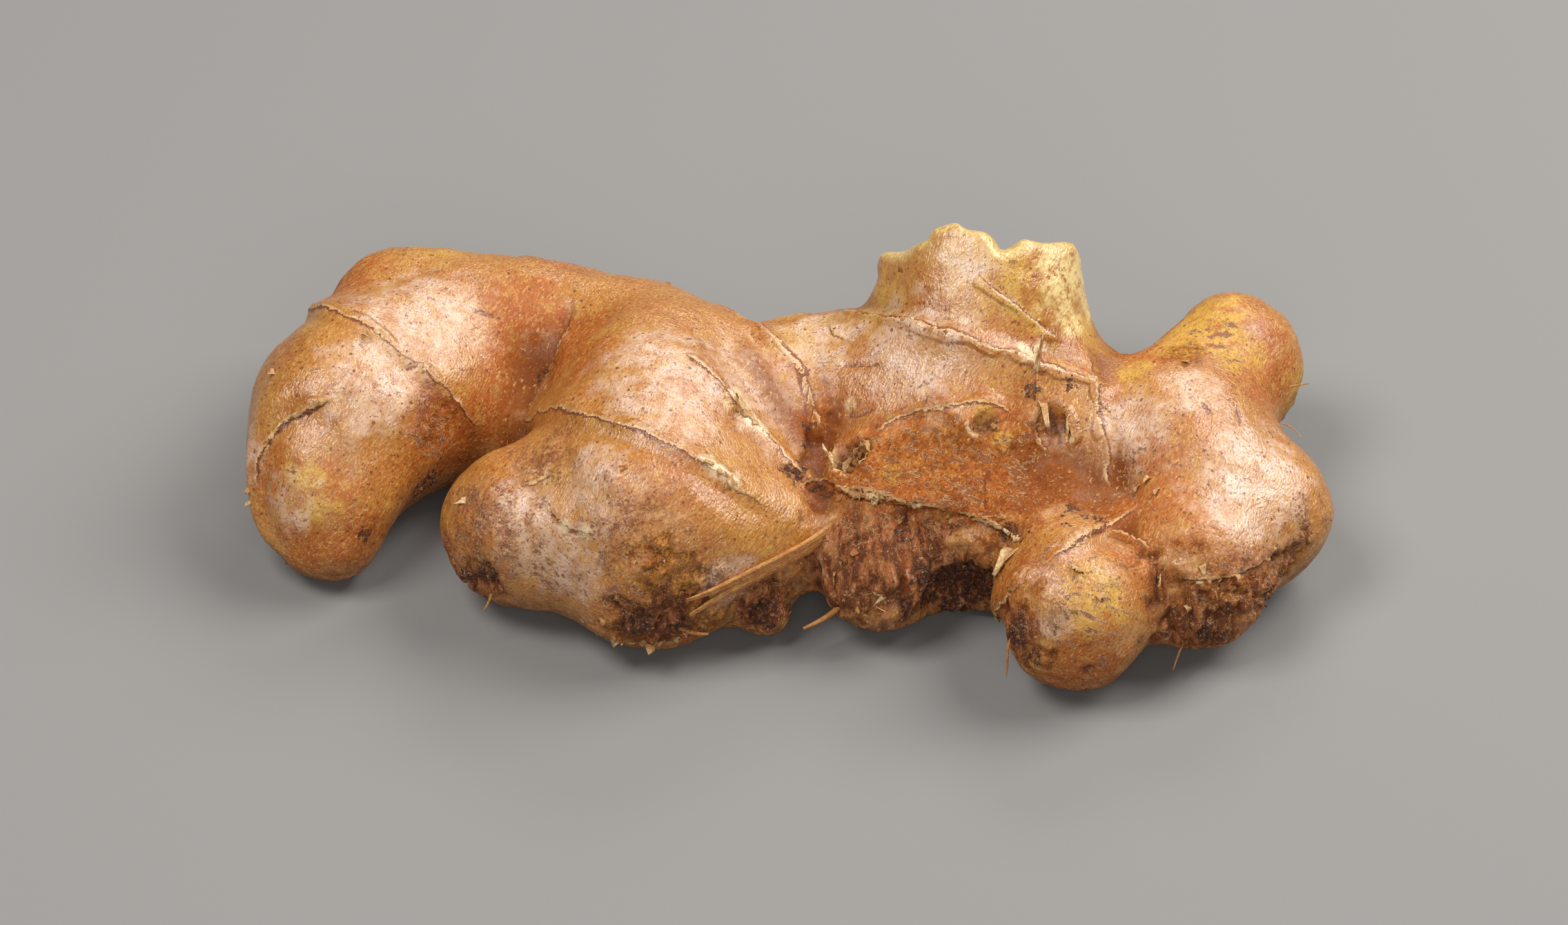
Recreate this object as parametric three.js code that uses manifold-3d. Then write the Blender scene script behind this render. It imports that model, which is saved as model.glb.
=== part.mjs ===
// A hand of fresh ginger: one knobbly rhizome with fingers and knobs grown out of a thick middle,
// ring scars round each of them, root scars, and a torn stub where a stem was broken off.
// Millimetres, +Z up. It lies on a surface at z = 0, its length runs along X and its front faces -Y.
import * as THREE from "three";
import { ImprovedNoise } from "three/addons/math/ImprovedNoise.js";
import { mergeVertices } from "three/addons/utils/BufferGeometryUtils.js";
import Module from "manifold-3d";

const wasm = await Module();
wasm.setup();

// Driving dimensions.
const POINT_SPACING = 2.5; // between neighbouring points of the skin, half of it near a scar
const SAME_PLACE = 1e-4; // closer points are one
const SHORT_EDGE = 0.1; // between triangles, left over where the stub is torn
const SLOPE_STEP = 0.05; // over which the skin's slope is taken
const EVEN_ROUNDS = 4; // of evening out the net of points
const EVEN_ROUNDS_SPLIT = 2; // after its edges are split near the scars
const LINKS_PER_SPAN = 4; // straight links between two points of a lobe's spine
const REST_SNAP = 0.3; // skin this close to the surface lies flat on it
const RING_LIP = 0.6; // how far the old sheath's edge stands up at a ring scar
const RING_RISE = 2.0; // how wide the lip is
const RING_DROP = 1.1; // how wide the fall behind the lip is
const RING_STEP = 0.7; // how far the next joint starts below the skin
const RING_FADE = 4.5; // how far it takes to grow out
const RING_WHOLE = 0.8; // the share of its reach within which a ring stands at its full height
const WORN_HEIGHT = 4; // up to which the ring scars are worn down
const COLLAR_HEIGHT = 0.6; // round a root scar
const COLLAR_CRISPNESS = 6; // how quickly the collar falls off to both sides
const PIT_CRISPNESS = 3; // how quickly the pit rises to the collar
const SCAR_REACH = 1.5; // radii round a root scar that have small triangles
const RING_NEAR = 1.75; // to both sides of a ring that has small triangles
const RING_SHOWS = 0.1; // the strength above which it has them
const LUMP_HEIGHT = 0.6; // uneven growth of the skin
const LUMP_SIZE = 9; // from one lump to the next
const TEAR_LEAN = 42; // degrees by which the stub's torn outline leans back from upright
const TEAR_BLOCK = 60; // how high and how deep the torn-off block reaches, clear of the stub
const MIDDLE = { x: 0.3, y: 4.3 }; // of the lying root, under which the origin is

// The lobes, in the order in which they grow. A spine's points are [x, y, z, radius], and blend is
// how softly a lobe grows out of what is there already.
const LOBES = [
  {
    name: "middle",
    blend: 0,
    spine: [
      [-13, 15, 11.8, 11.6],
      [-6, 14.5, 11, 10],
      [6.5, 14, 11.8, 10.4],
      [19, 14.5, 12.4, 12.6],
      [30, 11, 12, 11.5],
    ],
  },
  {
    name: "knuckle of the left finger",
    blend: 4,
    spine: [
      [-19, 21.5, 12.5, 9.4],
      [-38, 26.5, 12.8, 8.6],
      [-45, 27, 13, 8.6],
    ],
  },
  {
    name: "left finger",
    blend: 2,
    spine: [
      [-31, 25, 12.5, 9],
      [-38, 22.5, 12.2, 10.4],
      [-44.5, 19, 11.8, 11.6],
      [-50.2, 11, 11.8, 12],
      [-52.3, 2.8, 8.5, 8.9],
      [-52, -1, 6, 6.4],
    ],
  },
  {
    name: "heel of the left finger",
    blend: 5,
    spine: [
      [-44, 15, 11, 10.4],
      [-39.2, 16.5, 10.6, 8.9],
    ],
  },
  {
    name: "broad lobe",
    blend: 2,
    spine: [
      [-15, 13.5, 12.2, 12.4],
      [-14.5, 3, 13.2, 13.5],
      [-14.5, -6, 12.5, 12.8],
    ],
  },
  {
    name: "foot of the broad lobe",
    blend: 5,
    spine: [
      [-17, -7, 9.6, 9.6],
      [-15.5, -11.7, 8, 8],
    ],
  },
  {
    name: "left knob of the broad lobe",
    blend: 5,
    spine: [
      [-20, -2, 10.5, 10],
      [-29.5, -4.8, 9.6, 9.6],
    ],
  },
  {
    name: "right knob of the broad lobe",
    blend: 5,
    spine: [
      [-10.5, -1.5, 9, 9.4],
      [-4.4, -5.2, 9.7, 9.8],
    ],
  },
  {
    name: "flesh behind the left knob",
    blend: 3,
    spine: [
      [-33, 15, 7.5, 7],
      [-22, 10, 7.5, 7.2],
    ],
  },
  {
    name: "flesh behind the right knob",
    blend: 3,
    spine: [
      [-3, 4, 8, 7.6],
      [9, 4, 8, 7.6],
    ],
  },
  {
    name: "bud under the broad lobe",
    blend: 1.5,
    spine: [
      [-4, -8, 5, 3.4],
      [-2.2, -13, 4.2, 3],
    ],
  },
  {
    name: "belly",
    blend: 4,
    spine: [
      [16, 9, 12, 11.5],
      [20.5, -3.5, 9.8, 9.2],
    ],
  },
  {
    name: "ridge under the belly",
    blend: 3,
    spine: [
      [15, -8, 5, 4.5],
      [28, -8.5, 5, 4.6],
    ],
  },
  {
    name: "stem stub",
    blend: 3,
    spine: [
      [21, 11, 13, 13.2],
      [22.5, 18, 19.5, 12.9],
      [23.5, 27, 28, 11.5],
    ],
  },
  {
    name: "front stump",
    blend: 2,
    spine: [
      [13, 3, 11, 8.6],
      [11, -6, 9.4, 8.2],
      [11, -10, 7.4, 7.2],
    ],
  },
  {
    name: "round bud",
    blend: 1.4,
    spine: [
      [27, -3, 10.5, 5.6],
      [30.3, -11, 9.5, 6.4],
      [32.8, -17.8, 8.8, 9.1],
    ],
  },
  {
    name: "right lobe",
    blend: 3,
    spine: [
      [35, 7, 12.5, 8.8],
      [45, 4.5, 11.5, 11.4],
      [46.5, -11, 8.9, 9.3],
    ],
  },
  {
    name: "flesh behind the bud",
    blend: 3,
    spine: [
      [32, -2, 8.5, 6.8],
      [40.5, -11, 7.8, 7],
    ],
  },
  {
    name: "upper knob",
    blend: 3.5,
    spine: [
      [45, 8, 12.5, 8.5],
      [52, 18.5, 13.5, 8.3],
    ],
  },
  {
    name: "lower knob",
    blend: 3.5,
    spine: [
      [46, 2, 11, 9.5],
      [54, -2, 9.5, 8.8],
    ],
  },
];

// Hollows that are left between the lobes.
const HOLLOWS = [
  {
    name: "arch between the front stump and the bud",
    blend: 1.5,
    spine: [
      [18, -13.5, 5.5, 3.2],
      [20.8, -13, 6.1, 4],
      [24, -13, 5.9, 3.5],
    ],
  },
];

// Ring scars, where the sheath leaves grew: the middle of each ring, the way along the lobe in which
// it faces, and how far from its middle it shows.
const RING_SCARS = [
  { name: "on the left finger", at: [-45.8, 17.9, 11.8], facing: [-0.59, -0.71, -0.38], reach: 16 },
  { name: "round the finger's tip", at: [-57, 0.8, 13], facing: [-0.29, -0.81, 0.52], reach: 10 },
  { name: "across the broad lobe", at: [-14.5, 0.2, 12], facing: [-0.47, -0.77, -0.44], reach: 20 },
  { name: "beside its neck", at: [-6, 2.5, 17], facing: [-0.62, -0.79, -0.05], reach: 12 },
  { name: "before the middle", at: [-4.5, 15, 12], facing: [0.81, 0.52, -0.26], reach: 17 },
  { name: "under the stub", at: [23, 14.5, 19], facing: [0.31, 0.69, 0.65], reach: 19 },
  { name: "round the stump", at: [12, -2, 13], facing: [-0.13, -0.5, -0.86], reach: 12 },
  { name: "round the bud", at: [31.3, -11.7, 9.4], facing: [0.61, -0.63, -0.48], reach: 12.5 },
  { name: "before the right lobe", at: [35.5, 5, 12.5], facing: [1, 0.15, 0], reach: 13 },
];

// Root scars on the skin: a low collar round a pit. The sizes are radii.
const ROOT_SCARS = [
  { at: [7.9, -2, 16.8], radius: 2.3, depth: 1.3 },
  { at: [22.7, -0.5, 20.6], radius: 2.3, depth: 0.7 },
  { at: [30.5, 1.4, 19.7], radius: 2.5, depth: 0.8 },
  { at: [-24, 30, 17], radius: 2.3, depth: 0.9 },
  { at: [36, 16, 5], radius: 2.3, depth: 0.9 },
];

// The torn outline of the stem stub as seen from the front and above: [x, height up the lean].
const TEAR = [
  [3, 28],
  [9, 29.4],
  [11, 32.6],
  [10.5, 33.2],
  [11.4, 35.3],
  [13.9, 35.3],
  [15.3, 36.3],
  [16.5, 36.3],
  [16.7, 37.7],
  [19.9, 38.6],
  [20.3, 37.8],
  [22.8, 37.4],
  [23.9, 36.3],
  [24.3, 34.7],
  [26, 35.3],
  [27.3, 36.6],
  [28.9, 36.1],
  [33.1, 36.2],
  [34, 35],
  [35.6, 29.2],
  [36.7, 27.6],
  [40, 26],
];

// The hollow that the stem left behind the torn edge, with so many bumps across its radius.
const STEM_HOLLOW = { at: [23.2, 27.3, 26.4], radii: [10.2, 10, 4.2], bumps: 4, roughness: 0.12 };

const noise = new ImprovedNoise();

// The smooth union of two distances: they round into each other over about size.
function blendTogether(a, b, size) {
  const overlap = Math.max(size - Math.abs(a - b), 0) / size;
  return Math.min(a, b) - (overlap * overlap * size) / 4;
}

// A lobe's spine as short straight links, with the radius at each end.
function linksOf(lobe) {
  const curve = new THREE.CatmullRomCurve3(
    lobe.spine.map(([x, y, z]) => new THREE.Vector3(x, y, z)),
  );
  const count = (lobe.spine.length - 1) * LINKS_PER_SPAN;
  const radiusAt = (share) => {
    const place = share * (lobe.spine.length - 1);
    const i = Math.min(Math.floor(place), lobe.spine.length - 2);
    return THREE.MathUtils.lerp(lobe.spine[i][3], lobe.spine[i + 1][3], place - i);
  };
  const links = [];
  for (let i = 0; i < count; i++) {
    const from = curve.getPoint(i / count);
    const along = curve.getPoint((i + 1) / count).sub(from);
    links.push({ from, along, r0: radiusAt(i / count), r1: radiusAt((i + 1) / count) });
  }
  return links;
}

const [first, ...others] = LOBES.map((lobe) => ({ ...lobe, links: linksOf(lobe) }));
const hollows = HOLLOWS.map((hollow) => ({ ...hollow, links: linksOf(hollow) }));
const rings = RING_SCARS.map(({ at, facing, reach }) => ({
  at: new THREE.Vector3(...at),
  direction: new THREE.Vector3(...facing).normalize(),
  reach,
}));
const scars = ROOT_SCARS.map((scar) => ({ ...scar, at: new THREE.Vector3(...scar.at) }));
const offset = new THREE.Vector3();

// The distance from a point to one lobe's skin, negative inside it.
function distanceToLobe(lobe, point) {
  let nearest = Infinity;
  for (const link of lobe.links) {
    offset.subVectors(point, link.from);
    const share = THREE.MathUtils.clamp(offset.dot(link.along) / link.along.lengthSq(), 0, 1);
    offset.addScaledVector(link.along, -share);
    const gap = offset.length() - THREE.MathUtils.lerp(link.r0, link.r1, share);
    nearest = Math.min(nearest, gap);
  }
  return nearest;
}

// How far past a ring a point is, and how strongly the ring shows there: it is worn off underneath.
function placeAtRing(ring, point) {
  offset.subVectors(point, ring.at);
  const past = offset.dot(ring.direction);
  const aside = offset.addScaledVector(ring.direction, -past).length();
  const near = 1 - THREE.MathUtils.smoothstep(aside, RING_WHOLE * ring.reach, ring.reach);
  return { past, strength: near * THREE.MathUtils.smoothstep(point.z, REST_SNAP, WORN_HEIGHT) };
}

// The height of a ring scar's relief at a distance past the ring: the old sheath rises to its torn
// edge, and the next joint of the rhizome starts below it and grows out again.
function ringHeight(past) {
  if (past < 0) return RING_LIP * Math.exp(past / RING_RISE);
  if (past > RING_DROP) return -RING_STEP * Math.exp((RING_DROP - past) / RING_FADE);
  return THREE.MathUtils.lerp(RING_LIP, -RING_STEP, THREE.MathUtils.smoothstep(past, 0, RING_DROP));
}

// The relief of all the ring scars at a point.
function ringRelief(point) {
  let height = 0;
  for (const ring of rings) {
    const { past, strength } = placeAtRing(ring, point);
    height += strength * ringHeight(past);
  }
  return height;
}

// The collar and pit of the root scars near a point.
function scarRelief(point) {
  let height = 0;
  for (const { at, radius, depth } of scars) {
    const away = point.distanceTo(at) / radius;
    height += COLLAR_HEIGHT * Math.exp(-((away - 1) ** 2) * COLLAR_CRISPNESS);
    height -= depth * Math.exp(-(away ** 2) * PIT_CRISPNESS);
  }
  return height;
}

// The distance from a point to the lobes grown together, less the hollows, negative inside them.
function distanceToBody(point) {
  let distance = distanceToLobe(first, point);
  for (const lobe of others) {
    distance = blendTogether(distance, distanceToLobe(lobe, point), lobe.blend);
  }
  for (const hollow of hollows) {
    distance = -blendTogether(-distance, distanceToLobe(hollow, point), hollow.blend);
  }
  const lumps = noise.noise(point.x / LUMP_SIZE, point.y / LUMP_SIZE, point.z / LUMP_SIZE);
  return distance - LUMP_HEIGHT * lumps;
}

// The direction away from the lobes at a point.
function outwards(point) {
  const gradient = new THREE.Vector3();
  for (const axis of ["x", "y", "z"]) {
    const ahead = point.clone();
    const behind = point.clone();
    ahead[axis] += SLOPE_STEP;
    behind[axis] -= SLOPE_STEP;
    gradient[axis] = distanceToBody(ahead) - distanceToBody(behind);
  }
  return gradient.divideScalar(2 * SLOPE_STEP);
}

// Moves a point onto the skin.
function setOnSkin(point) {
  const direction = outwards(point);
  point.addScaledVector(direction, -distanceToBody(point) / direction.lengthSq());
}

// Raises a point of the skin by the scars' relief.
function raiseRelief(point) {
  const height = ringRelief(point) + scarRelief(point);
  point.addScaledVector(outwards(point).normalize(), height);
}

// A box that holds every lobe, with room for the relief.
function boxOfLobes() {
  const box = new THREE.Box3();
  for (const lobe of LOBES) {
    for (const [x, y, z, r] of lobe.spine) {
      const reach = r + 2 * POINT_SPACING;
      box.expandByPoint(new THREE.Vector3(x - reach, y - reach, z - reach));
      box.expandByPoint(new THREE.Vector3(x + reach, y + reach, z + reach));
    }
  }
  return box;
}

// The skin as a closed net: one point in each cell of a grid that the skin passes through, and one
// four-sided face across each edge of the grid that it cuts.
function netOfSkin() {
  const box = boxOfLobes();
  const size = box.getSize(new THREE.Vector3());
  const cells = size.toArray().map((length) => Math.ceil(length / POINT_SPACING) + 1);
  const stride = [1, cells[0], cells[0] * cells[1]];
  const corner = (i, j, k) =>
    new THREE.Vector3(i, j, k).multiplyScalar(POINT_SPACING).add(box.min);
  const values = new Float32Array(cells[0] * cells[1] * cells[2]);
  for (let k = 0; k < cells[2]; k++)
    for (let j = 0; j < cells[1]; j++)
      for (let i = 0; i < cells[0]; i++)
        values[i + j * stride[1] + k * stride[2]] = distanceToBody(corner(i, j, k));

  const points = [];
  const pointOfCell = new Int32Array(values.length).fill(-1);
  for (let k = 0; k < cells[2] - 1; k++)
    for (let j = 0; j < cells[1] - 1; j++)
      for (let i = 0; i < cells[0] - 1; i++) {
        const cell = i + j * stride[1] + k * stride[2];
        const middle = crossingOfCell(values, cell, stride);
        if (!middle) continue;
        pointOfCell[cell] = points.length;
        points.push(middle.multiplyScalar(POINT_SPACING).add(corner(i, j, k)));
      }

  const faces = [];
  for (let cell = 0; cell < values.length; cell++)
    for (let axis = 0; axis < 3; axis++) {
      const ahead = cell + stride[axis];
      if (ahead >= values.length || values[cell] < 0 === values[ahead] < 0) continue;
      const [side, up] = [stride[(axis + 1) % 3], stride[(axis + 2) % 3]];
      const quad = [cell, cell - side, cell - side - up, cell - up].map((c) => pointOfCell[c]);
      faces.push(values[cell] < 0 ? quad : quad.reverse());
    }
  return { points, faces };
}

// The mean of the places where the skin cuts a cell's twelve edges, as shares of the cell's size.
function crossingOfCell(values, cell, stride) {
  const sum = new THREE.Vector3();
  let count = 0;
  for (let axis = 0; axis < 3; axis++)
    for (let a = 0; a < 2; a++)
      for (let b = 0; b < 2; b++) {
        const [side, up] = [(axis + 1) % 3, (axis + 2) % 3];
        const low = cell + a * stride[side] + b * stride[up];
        const [v0, v1] = [values[low], values[low + stride[axis]]];
        if (v0 < 0 === v1 < 0) continue;
        const place = [0, 0, 0];
        place[axis] = v0 / (v0 - v1);
        place[side] = a;
        place[up] = b;
        sum.add(new THREE.Vector3(...place));
        count++;
      }
  return count ? sum.divideScalar(count) : null;
}

// Evens out the points of a net of faces while they stay on the skin.
function evenOut(points, faces, rounds) {
  const neighbours = points.map(() => new Set());
  for (const face of faces)
    face.forEach((point, i) => {
      neighbours[point].add(face[(i + 1) % face.length]);
      neighbours[point].add(face[(i + face.length - 1) % face.length]);
    });
  for (let round = 0; round < rounds; round++) {
    const moved = points.map((point, i) => {
      const mean = new THREE.Vector3();
      for (const n of neighbours[i]) mean.add(points[n]);
      return mean.divideScalar(neighbours[i].size).lerp(point, 0.5);
    });
    moved.forEach(setOnSkin);
    moved.forEach((point, i) => points[i].copy(point));
  }
}

// Each four-sided face as two triangles, split along its shorter diagonal.
function trianglesOf({ points, faces }) {
  return faces.flatMap(([a, b, c, d]) =>
    points[a].distanceTo(points[c]) < points[b].distanceTo(points[d])
      ? [[a, b, c], [a, c, d]]
      : [[b, c, d], [b, d, a]],
  );
}

// Whether the skin at a point is near enough to a scar to need smaller triangles.
function isNearScar(point) {
  const onRing = rings.some((ring) => {
    const { past, strength } = placeAtRing(ring, point);
    return strength > RING_SHOWS && Math.abs(past) < RING_NEAR;
  });
  return onRing || scars.some(({ at, radius }) => point.distanceTo(at) < SCAR_REACH * radius);
}

// Splits the edges near the scars in half, and the triangles with them.
function splitNearScars(points, triangles) {
  const halves = new Map();
  const half = (a, b) => {
    const key = a < b ? `${a} ${b}` : `${b} ${a}`;
    if (!halves.has(key)) {
      const middle = points[a].clone().add(points[b]).multiplyScalar(0.5);
      halves.set(key, isNearScar(middle) ? points.push(middle) - 1 : null);
    }
    return halves.get(key);
  };
  return triangles.flatMap((triangle) => {
    const split = triangle.map((a, i) => half(a, triangle[(i + 1) % 3]));
    const count = split.filter((m) => m !== null).length;
    if (count === 0) return [triangle];
    if (count === 3) {
      const [[a, b, c], [ab, bc, ca]] = [triangle, split];
      return [[a, ab, ca], [b, bc, ab], [c, ca, bc], [ab, bc, ca]];
    }
    const first = count === 1 ? split.findIndex((m) => m !== null) : split.indexOf(null);
    const [a, b, c] = [0, 1, 2].map((i) => triangle[(first + i) % 3]);
    const [ab, bc, ca] = [0, 1, 2].map((i) => split[(first + i) % 3]);
    if (count === 1) return [[a, ab, c], [ab, b, c]];
    return [[c, ca, bc], [a, b, bc], [a, bc, ca]];
  });
}

// A closed list of triangles as a solid.
function solidOf(vertProperties, triVerts) {
  return new wasm.Manifold(
    new wasm.Mesh({
      numProp: 3,
      vertProperties: new Float32Array(vertProperties),
      triVerts: new Uint32Array(triVerts),
    }),
  );
}

function solidOfGeometry(geometry) {
  geometry.deleteAttribute("normal");
  geometry.deleteAttribute("uv");
  const merged = mergeVertices(geometry, SAME_PLACE);
  return solidOf(merged.attributes.position.array, merged.index.array);
}

// The rhizome with its stub still whole, lying on its lowest skin.
function wholeRhizome() {
  const net = netOfSkin();
  evenOut(net.points, net.faces, EVEN_ROUNDS);
  const triangles = splitNearScars(net.points, trianglesOf(net));
  evenOut(net.points, triangles, EVEN_ROUNDS_SPLIT);
  net.points.forEach(raiseRelief);
  for (const point of net.points) {
    if (point.z < REST_SNAP) point.z = 0;
  }
  return solidOf(net.points.flatMap((point) => point.toArray()), triangles.flat());
}

// What the tear took off the stub: all above its torn outline, which runs straight back.
function tornOff() {
  const shape = new THREE.Shape(TEAR.map(([x, up]) => new THREE.Vector2(x, up)));
  shape.lineTo(TEAR.at(-1)[0], TEAR_BLOCK);
  shape.lineTo(TEAR[0][0], TEAR_BLOCK);
  const geometry = new THREE.ExtrudeGeometry(shape, { depth: TEAR_BLOCK, bevelEnabled: false });
  geometry.translate(0, 0, -TEAR_BLOCK / 2).rotateX(THREE.MathUtils.degToRad(90 - TEAR_LEAN));
  return solidOfGeometry(geometry);
}

// The hollow behind the torn edge.
function stemHollow() {
  const { at, radii, bumps, roughness } = STEM_HOLLOW;
  const geometry = new THREE.SphereGeometry(1, 28, 16);
  const positions = geometry.attributes.position;
  for (let i = 0; i < positions.count; i++) {
    const point = new THREE.Vector3().fromBufferAttribute(positions, i);
    const { x, y, z } = point.clone().multiplyScalar(bumps);
    positions.setXYZ(i, ...point.multiplyScalar(1 + roughness * noise.noise(x, y, z)));
  }
  geometry.scale(...radii).rotateX(-THREE.MathUtils.degToRad(TEAR_LEAN)).translate(...at);
  return solidOfGeometry(geometry);
}

// The torn rhizome, without the loose crumbs that the tear leaves on its edge.
const torn = wholeRhizome().subtract(tornOff()).subtract(stemHollow());
const skin = torn.decompose().reduce((a, b) => (a.volume() > b.volume() ? a : b));

// A solid's triangles as a three.js geometry, with each edge shorter than SHORT_EDGE drawn together.
function geometryOf(solid) {
  const { vertProperties, triVerts } = solid.getMesh();
  const pointAt = (i) => new THREE.Vector3().fromArray(vertProperties, 3 * i);
  const home = Array.from({ length: vertProperties.length / 3 }, (_, i) => i);
  const homeOf = (i) => (home[i] === i ? i : homeOf(home[i]));
  for (let i = 0; i < triVerts.length; i++) {
    const next = i % 3 === 2 ? i - 2 : i + 1;
    const [a, b] = [homeOf(triVerts[i]), homeOf(triVerts[next])];
    if (pointAt(a).distanceTo(pointAt(b)) < SHORT_EDGE) home[b] = a;
  }
  const index = [];
  for (let i = 0; i < triVerts.length; i += 3) {
    const [a, b, c] = [0, 1, 2].map((corner) => homeOf(triVerts[i + corner]));
    if (a !== b && b !== c && c !== a) index.push(a, b, c);
  }
  const geometry = new THREE.BufferGeometry();
  geometry.setAttribute("position", new THREE.BufferAttribute(vertProperties, 3));
  geometry.setIndex(index);
  geometry.computeVertexNormals();
  return geometry;
}

const gingerSkin = new THREE.MeshStandardMaterial({ color: 0xc08a4e, roughness: 0.55, metalness: 0 });
const rhizome = new THREE.Mesh(geometryOf(skin), gingerSkin);
rhizome.name = "rhizome";
rhizome.position.set(-MIDDLE.x, -MIDDLE.y, 0);

const ginger = new THREE.Group();
ginger.add(rhizome);
export default ginger;
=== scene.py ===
import math

import bpy
import numpy as np
from mathutils import Matrix, Vector, noise
from mathutils.bvhtree import BVHTree
from mathutils.kdtree import KDTree


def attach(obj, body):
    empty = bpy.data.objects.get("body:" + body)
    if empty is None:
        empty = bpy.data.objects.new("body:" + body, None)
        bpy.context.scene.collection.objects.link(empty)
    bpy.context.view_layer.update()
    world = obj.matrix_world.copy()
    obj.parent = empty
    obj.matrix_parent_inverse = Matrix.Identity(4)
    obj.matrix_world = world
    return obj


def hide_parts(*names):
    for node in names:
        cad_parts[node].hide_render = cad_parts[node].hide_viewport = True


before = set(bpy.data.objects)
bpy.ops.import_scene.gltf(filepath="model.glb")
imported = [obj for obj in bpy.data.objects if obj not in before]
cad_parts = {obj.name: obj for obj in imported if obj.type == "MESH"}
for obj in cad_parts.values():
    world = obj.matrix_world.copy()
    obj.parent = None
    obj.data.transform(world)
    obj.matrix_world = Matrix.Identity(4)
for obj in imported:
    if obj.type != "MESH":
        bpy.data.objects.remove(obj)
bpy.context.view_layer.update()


# The view: the root seen from the front and above, at the angle and distance of the photograph's
# camera and with a longer lens, so that the root fills the frame.
camera_target = Vector((-0.0003, -0.0043, 0.015))
camera_elevation = math.radians(42)
camera_distance = 0.76
lens_mm = 153.3

toward_camera = Vector((0, -math.cos(camera_elevation), math.sin(camera_elevation)))
bpy.ops.object.camera_add(
    location=camera_target + toward_camera * camera_distance,
    rotation=(math.radians(90) - camera_elevation, 0, 0),
)
camera = bpy.context.object
camera.name = "camera"
camera.data.lens = lens_mm
camera.data.sensor_width = 36
camera.data.sensor_fit = "HORIZONTAL"
camera.data.clip_start = 0.01
bpy.context.scene.camera = camera
bpy.context.scene.view_settings.view_transform = "Standard"


# The light: one soft box high on the right and another high on the left, which lay broad sheens on
# the upper skin, a low one behind, a weak one in front, and a dim even room.
warm_white = (1, 0.98, 0.96)
warmer_white = (1, 0.98, 0.95)
room_strength = 0.09


def add_softbox(name, place, size, power, color):
    bpy.ops.object.light_add(type="AREA", location=place)
    light = bpy.context.object
    light.name = name
    light.rotation_euler = (camera_target - Vector(place)).to_track_quat("-Z", "Y").to_euler()
    light.data.shape = "RECTANGLE"
    light.data.size, light.data.size_y = size
    light.data.energy = power
    light.data.color = color


add_softbox("softbox_right", (0.43, 0.155, 0.52), (0.44, 0.46), 4.4, warm_white)
add_softbox("softbox_left", (-0.30, -0.12, 0.64), (0.32, 0.30), 3.1, warm_white)
add_softbox("softbox_behind", (0.16, 0.58, 0.46), (0.34, 0.18), 1.3, warm_white)
add_softbox("softbox_front", (0.05, -0.80, 0.55), (0.70, 0.40), 2.4, warmer_white)

room = bpy.data.worlds.new("room")
room.use_nodes = True
background = room.node_tree.nodes["Background"]
background.inputs["Color"].default_value = (*warm_white, 1)
background.inputs["Strength"].default_value = room_strength
bpy.context.scene.world = room


# The floor: a plain pale surface that the root lies on.
floor_size = 6
floor_height = -0.0002
floor_grey = (0.26, 0.255, 0.248, 1)
bpy.ops.mesh.primitive_grid_add(
    x_subdivisions=4, y_subdivisions=4, size=floor_size, location=(0, 0, floor_height)
)
floor = bpy.context.object
floor.name = "floor"
bpy.ops.object.transform_apply(location=True)
floor_paint = bpy.data.materials.new("floor_paint")
floor_paint.use_nodes = True
floor_shader = floor_paint.node_tree.nodes["Principled BSDF"]
floor_shader.inputs["Base Color"].default_value = floor_grey
floor_shader.inputs["Roughness"].default_value = 0.9
floor.data.materials.append(floor_paint)


# The skin: the whole root in its thin papery skin, grown in one piece with its flesh. It is a fine
# copy of the root's solid, on which the torn ring edges, scars, cracks and the unevenness of the
# growth are raised and sunk. Places on it are in millimetres.
MM = 0.001
skin_spacing = 0.48 * MM
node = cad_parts["rhizome"]
skin = bpy.data.objects.new("skin", node.data.copy())
bpy.context.scene.collection.objects.link(skin)
skin.data.materials.clear()


def select_only(piece):
    bpy.ops.object.select_all(action="DESELECT")
    piece.select_set(True)
    bpy.context.view_layer.objects.active = piece


def apply_modifier(piece, kind, **settings):
    select_only(piece)
    modifier = piece.modifiers.new(kind.lower(), kind)
    for setting, value in settings.items():
        setattr(modifier, setting, value)
    bpy.ops.object.modifier_apply(modifier=modifier.name)


# The values that a mesh keeps for its points, edges or triangles, a row for each.
def rows_of(parts, name, width=3, kind=float):
    flat = np.empty(width * len(parts), kind)
    parts.foreach_get(name, flat)
    return flat.reshape(-1, width)


def points_of(piece):
    return rows_of(piece.data.vertices, "co") / MM


def move_points(piece, points):
    piece.data.vertices.foreach_set("co", (np.asarray(points) * MM).ravel())
    piece.data.update()


def outwards_of(piece):
    return rows_of(piece.data.vertex_normals, "vector")


# How hollow the skin is at each point, in millimetres below its smoothed surface.
def hollowness(piece, rounds):
    a, b = rows_of(piece.data.edges, "vertices", 2, int).T
    points = points_of(piece)
    count = np.bincount(a, minlength=len(points)) + np.bincount(b, minlength=len(points))
    smoothed = points.copy()
    for _ in range(rounds):
        for axis in range(3):
            value = smoothed[:, axis]
            total = np.bincount(a, value[b], len(points)) + np.bincount(b, value[a], len(points))
            smoothed[:, axis] = 0.5 * value + 0.5 * total / count
    return ((smoothed - points) * outwards_of(piece)).sum(axis=1)


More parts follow.
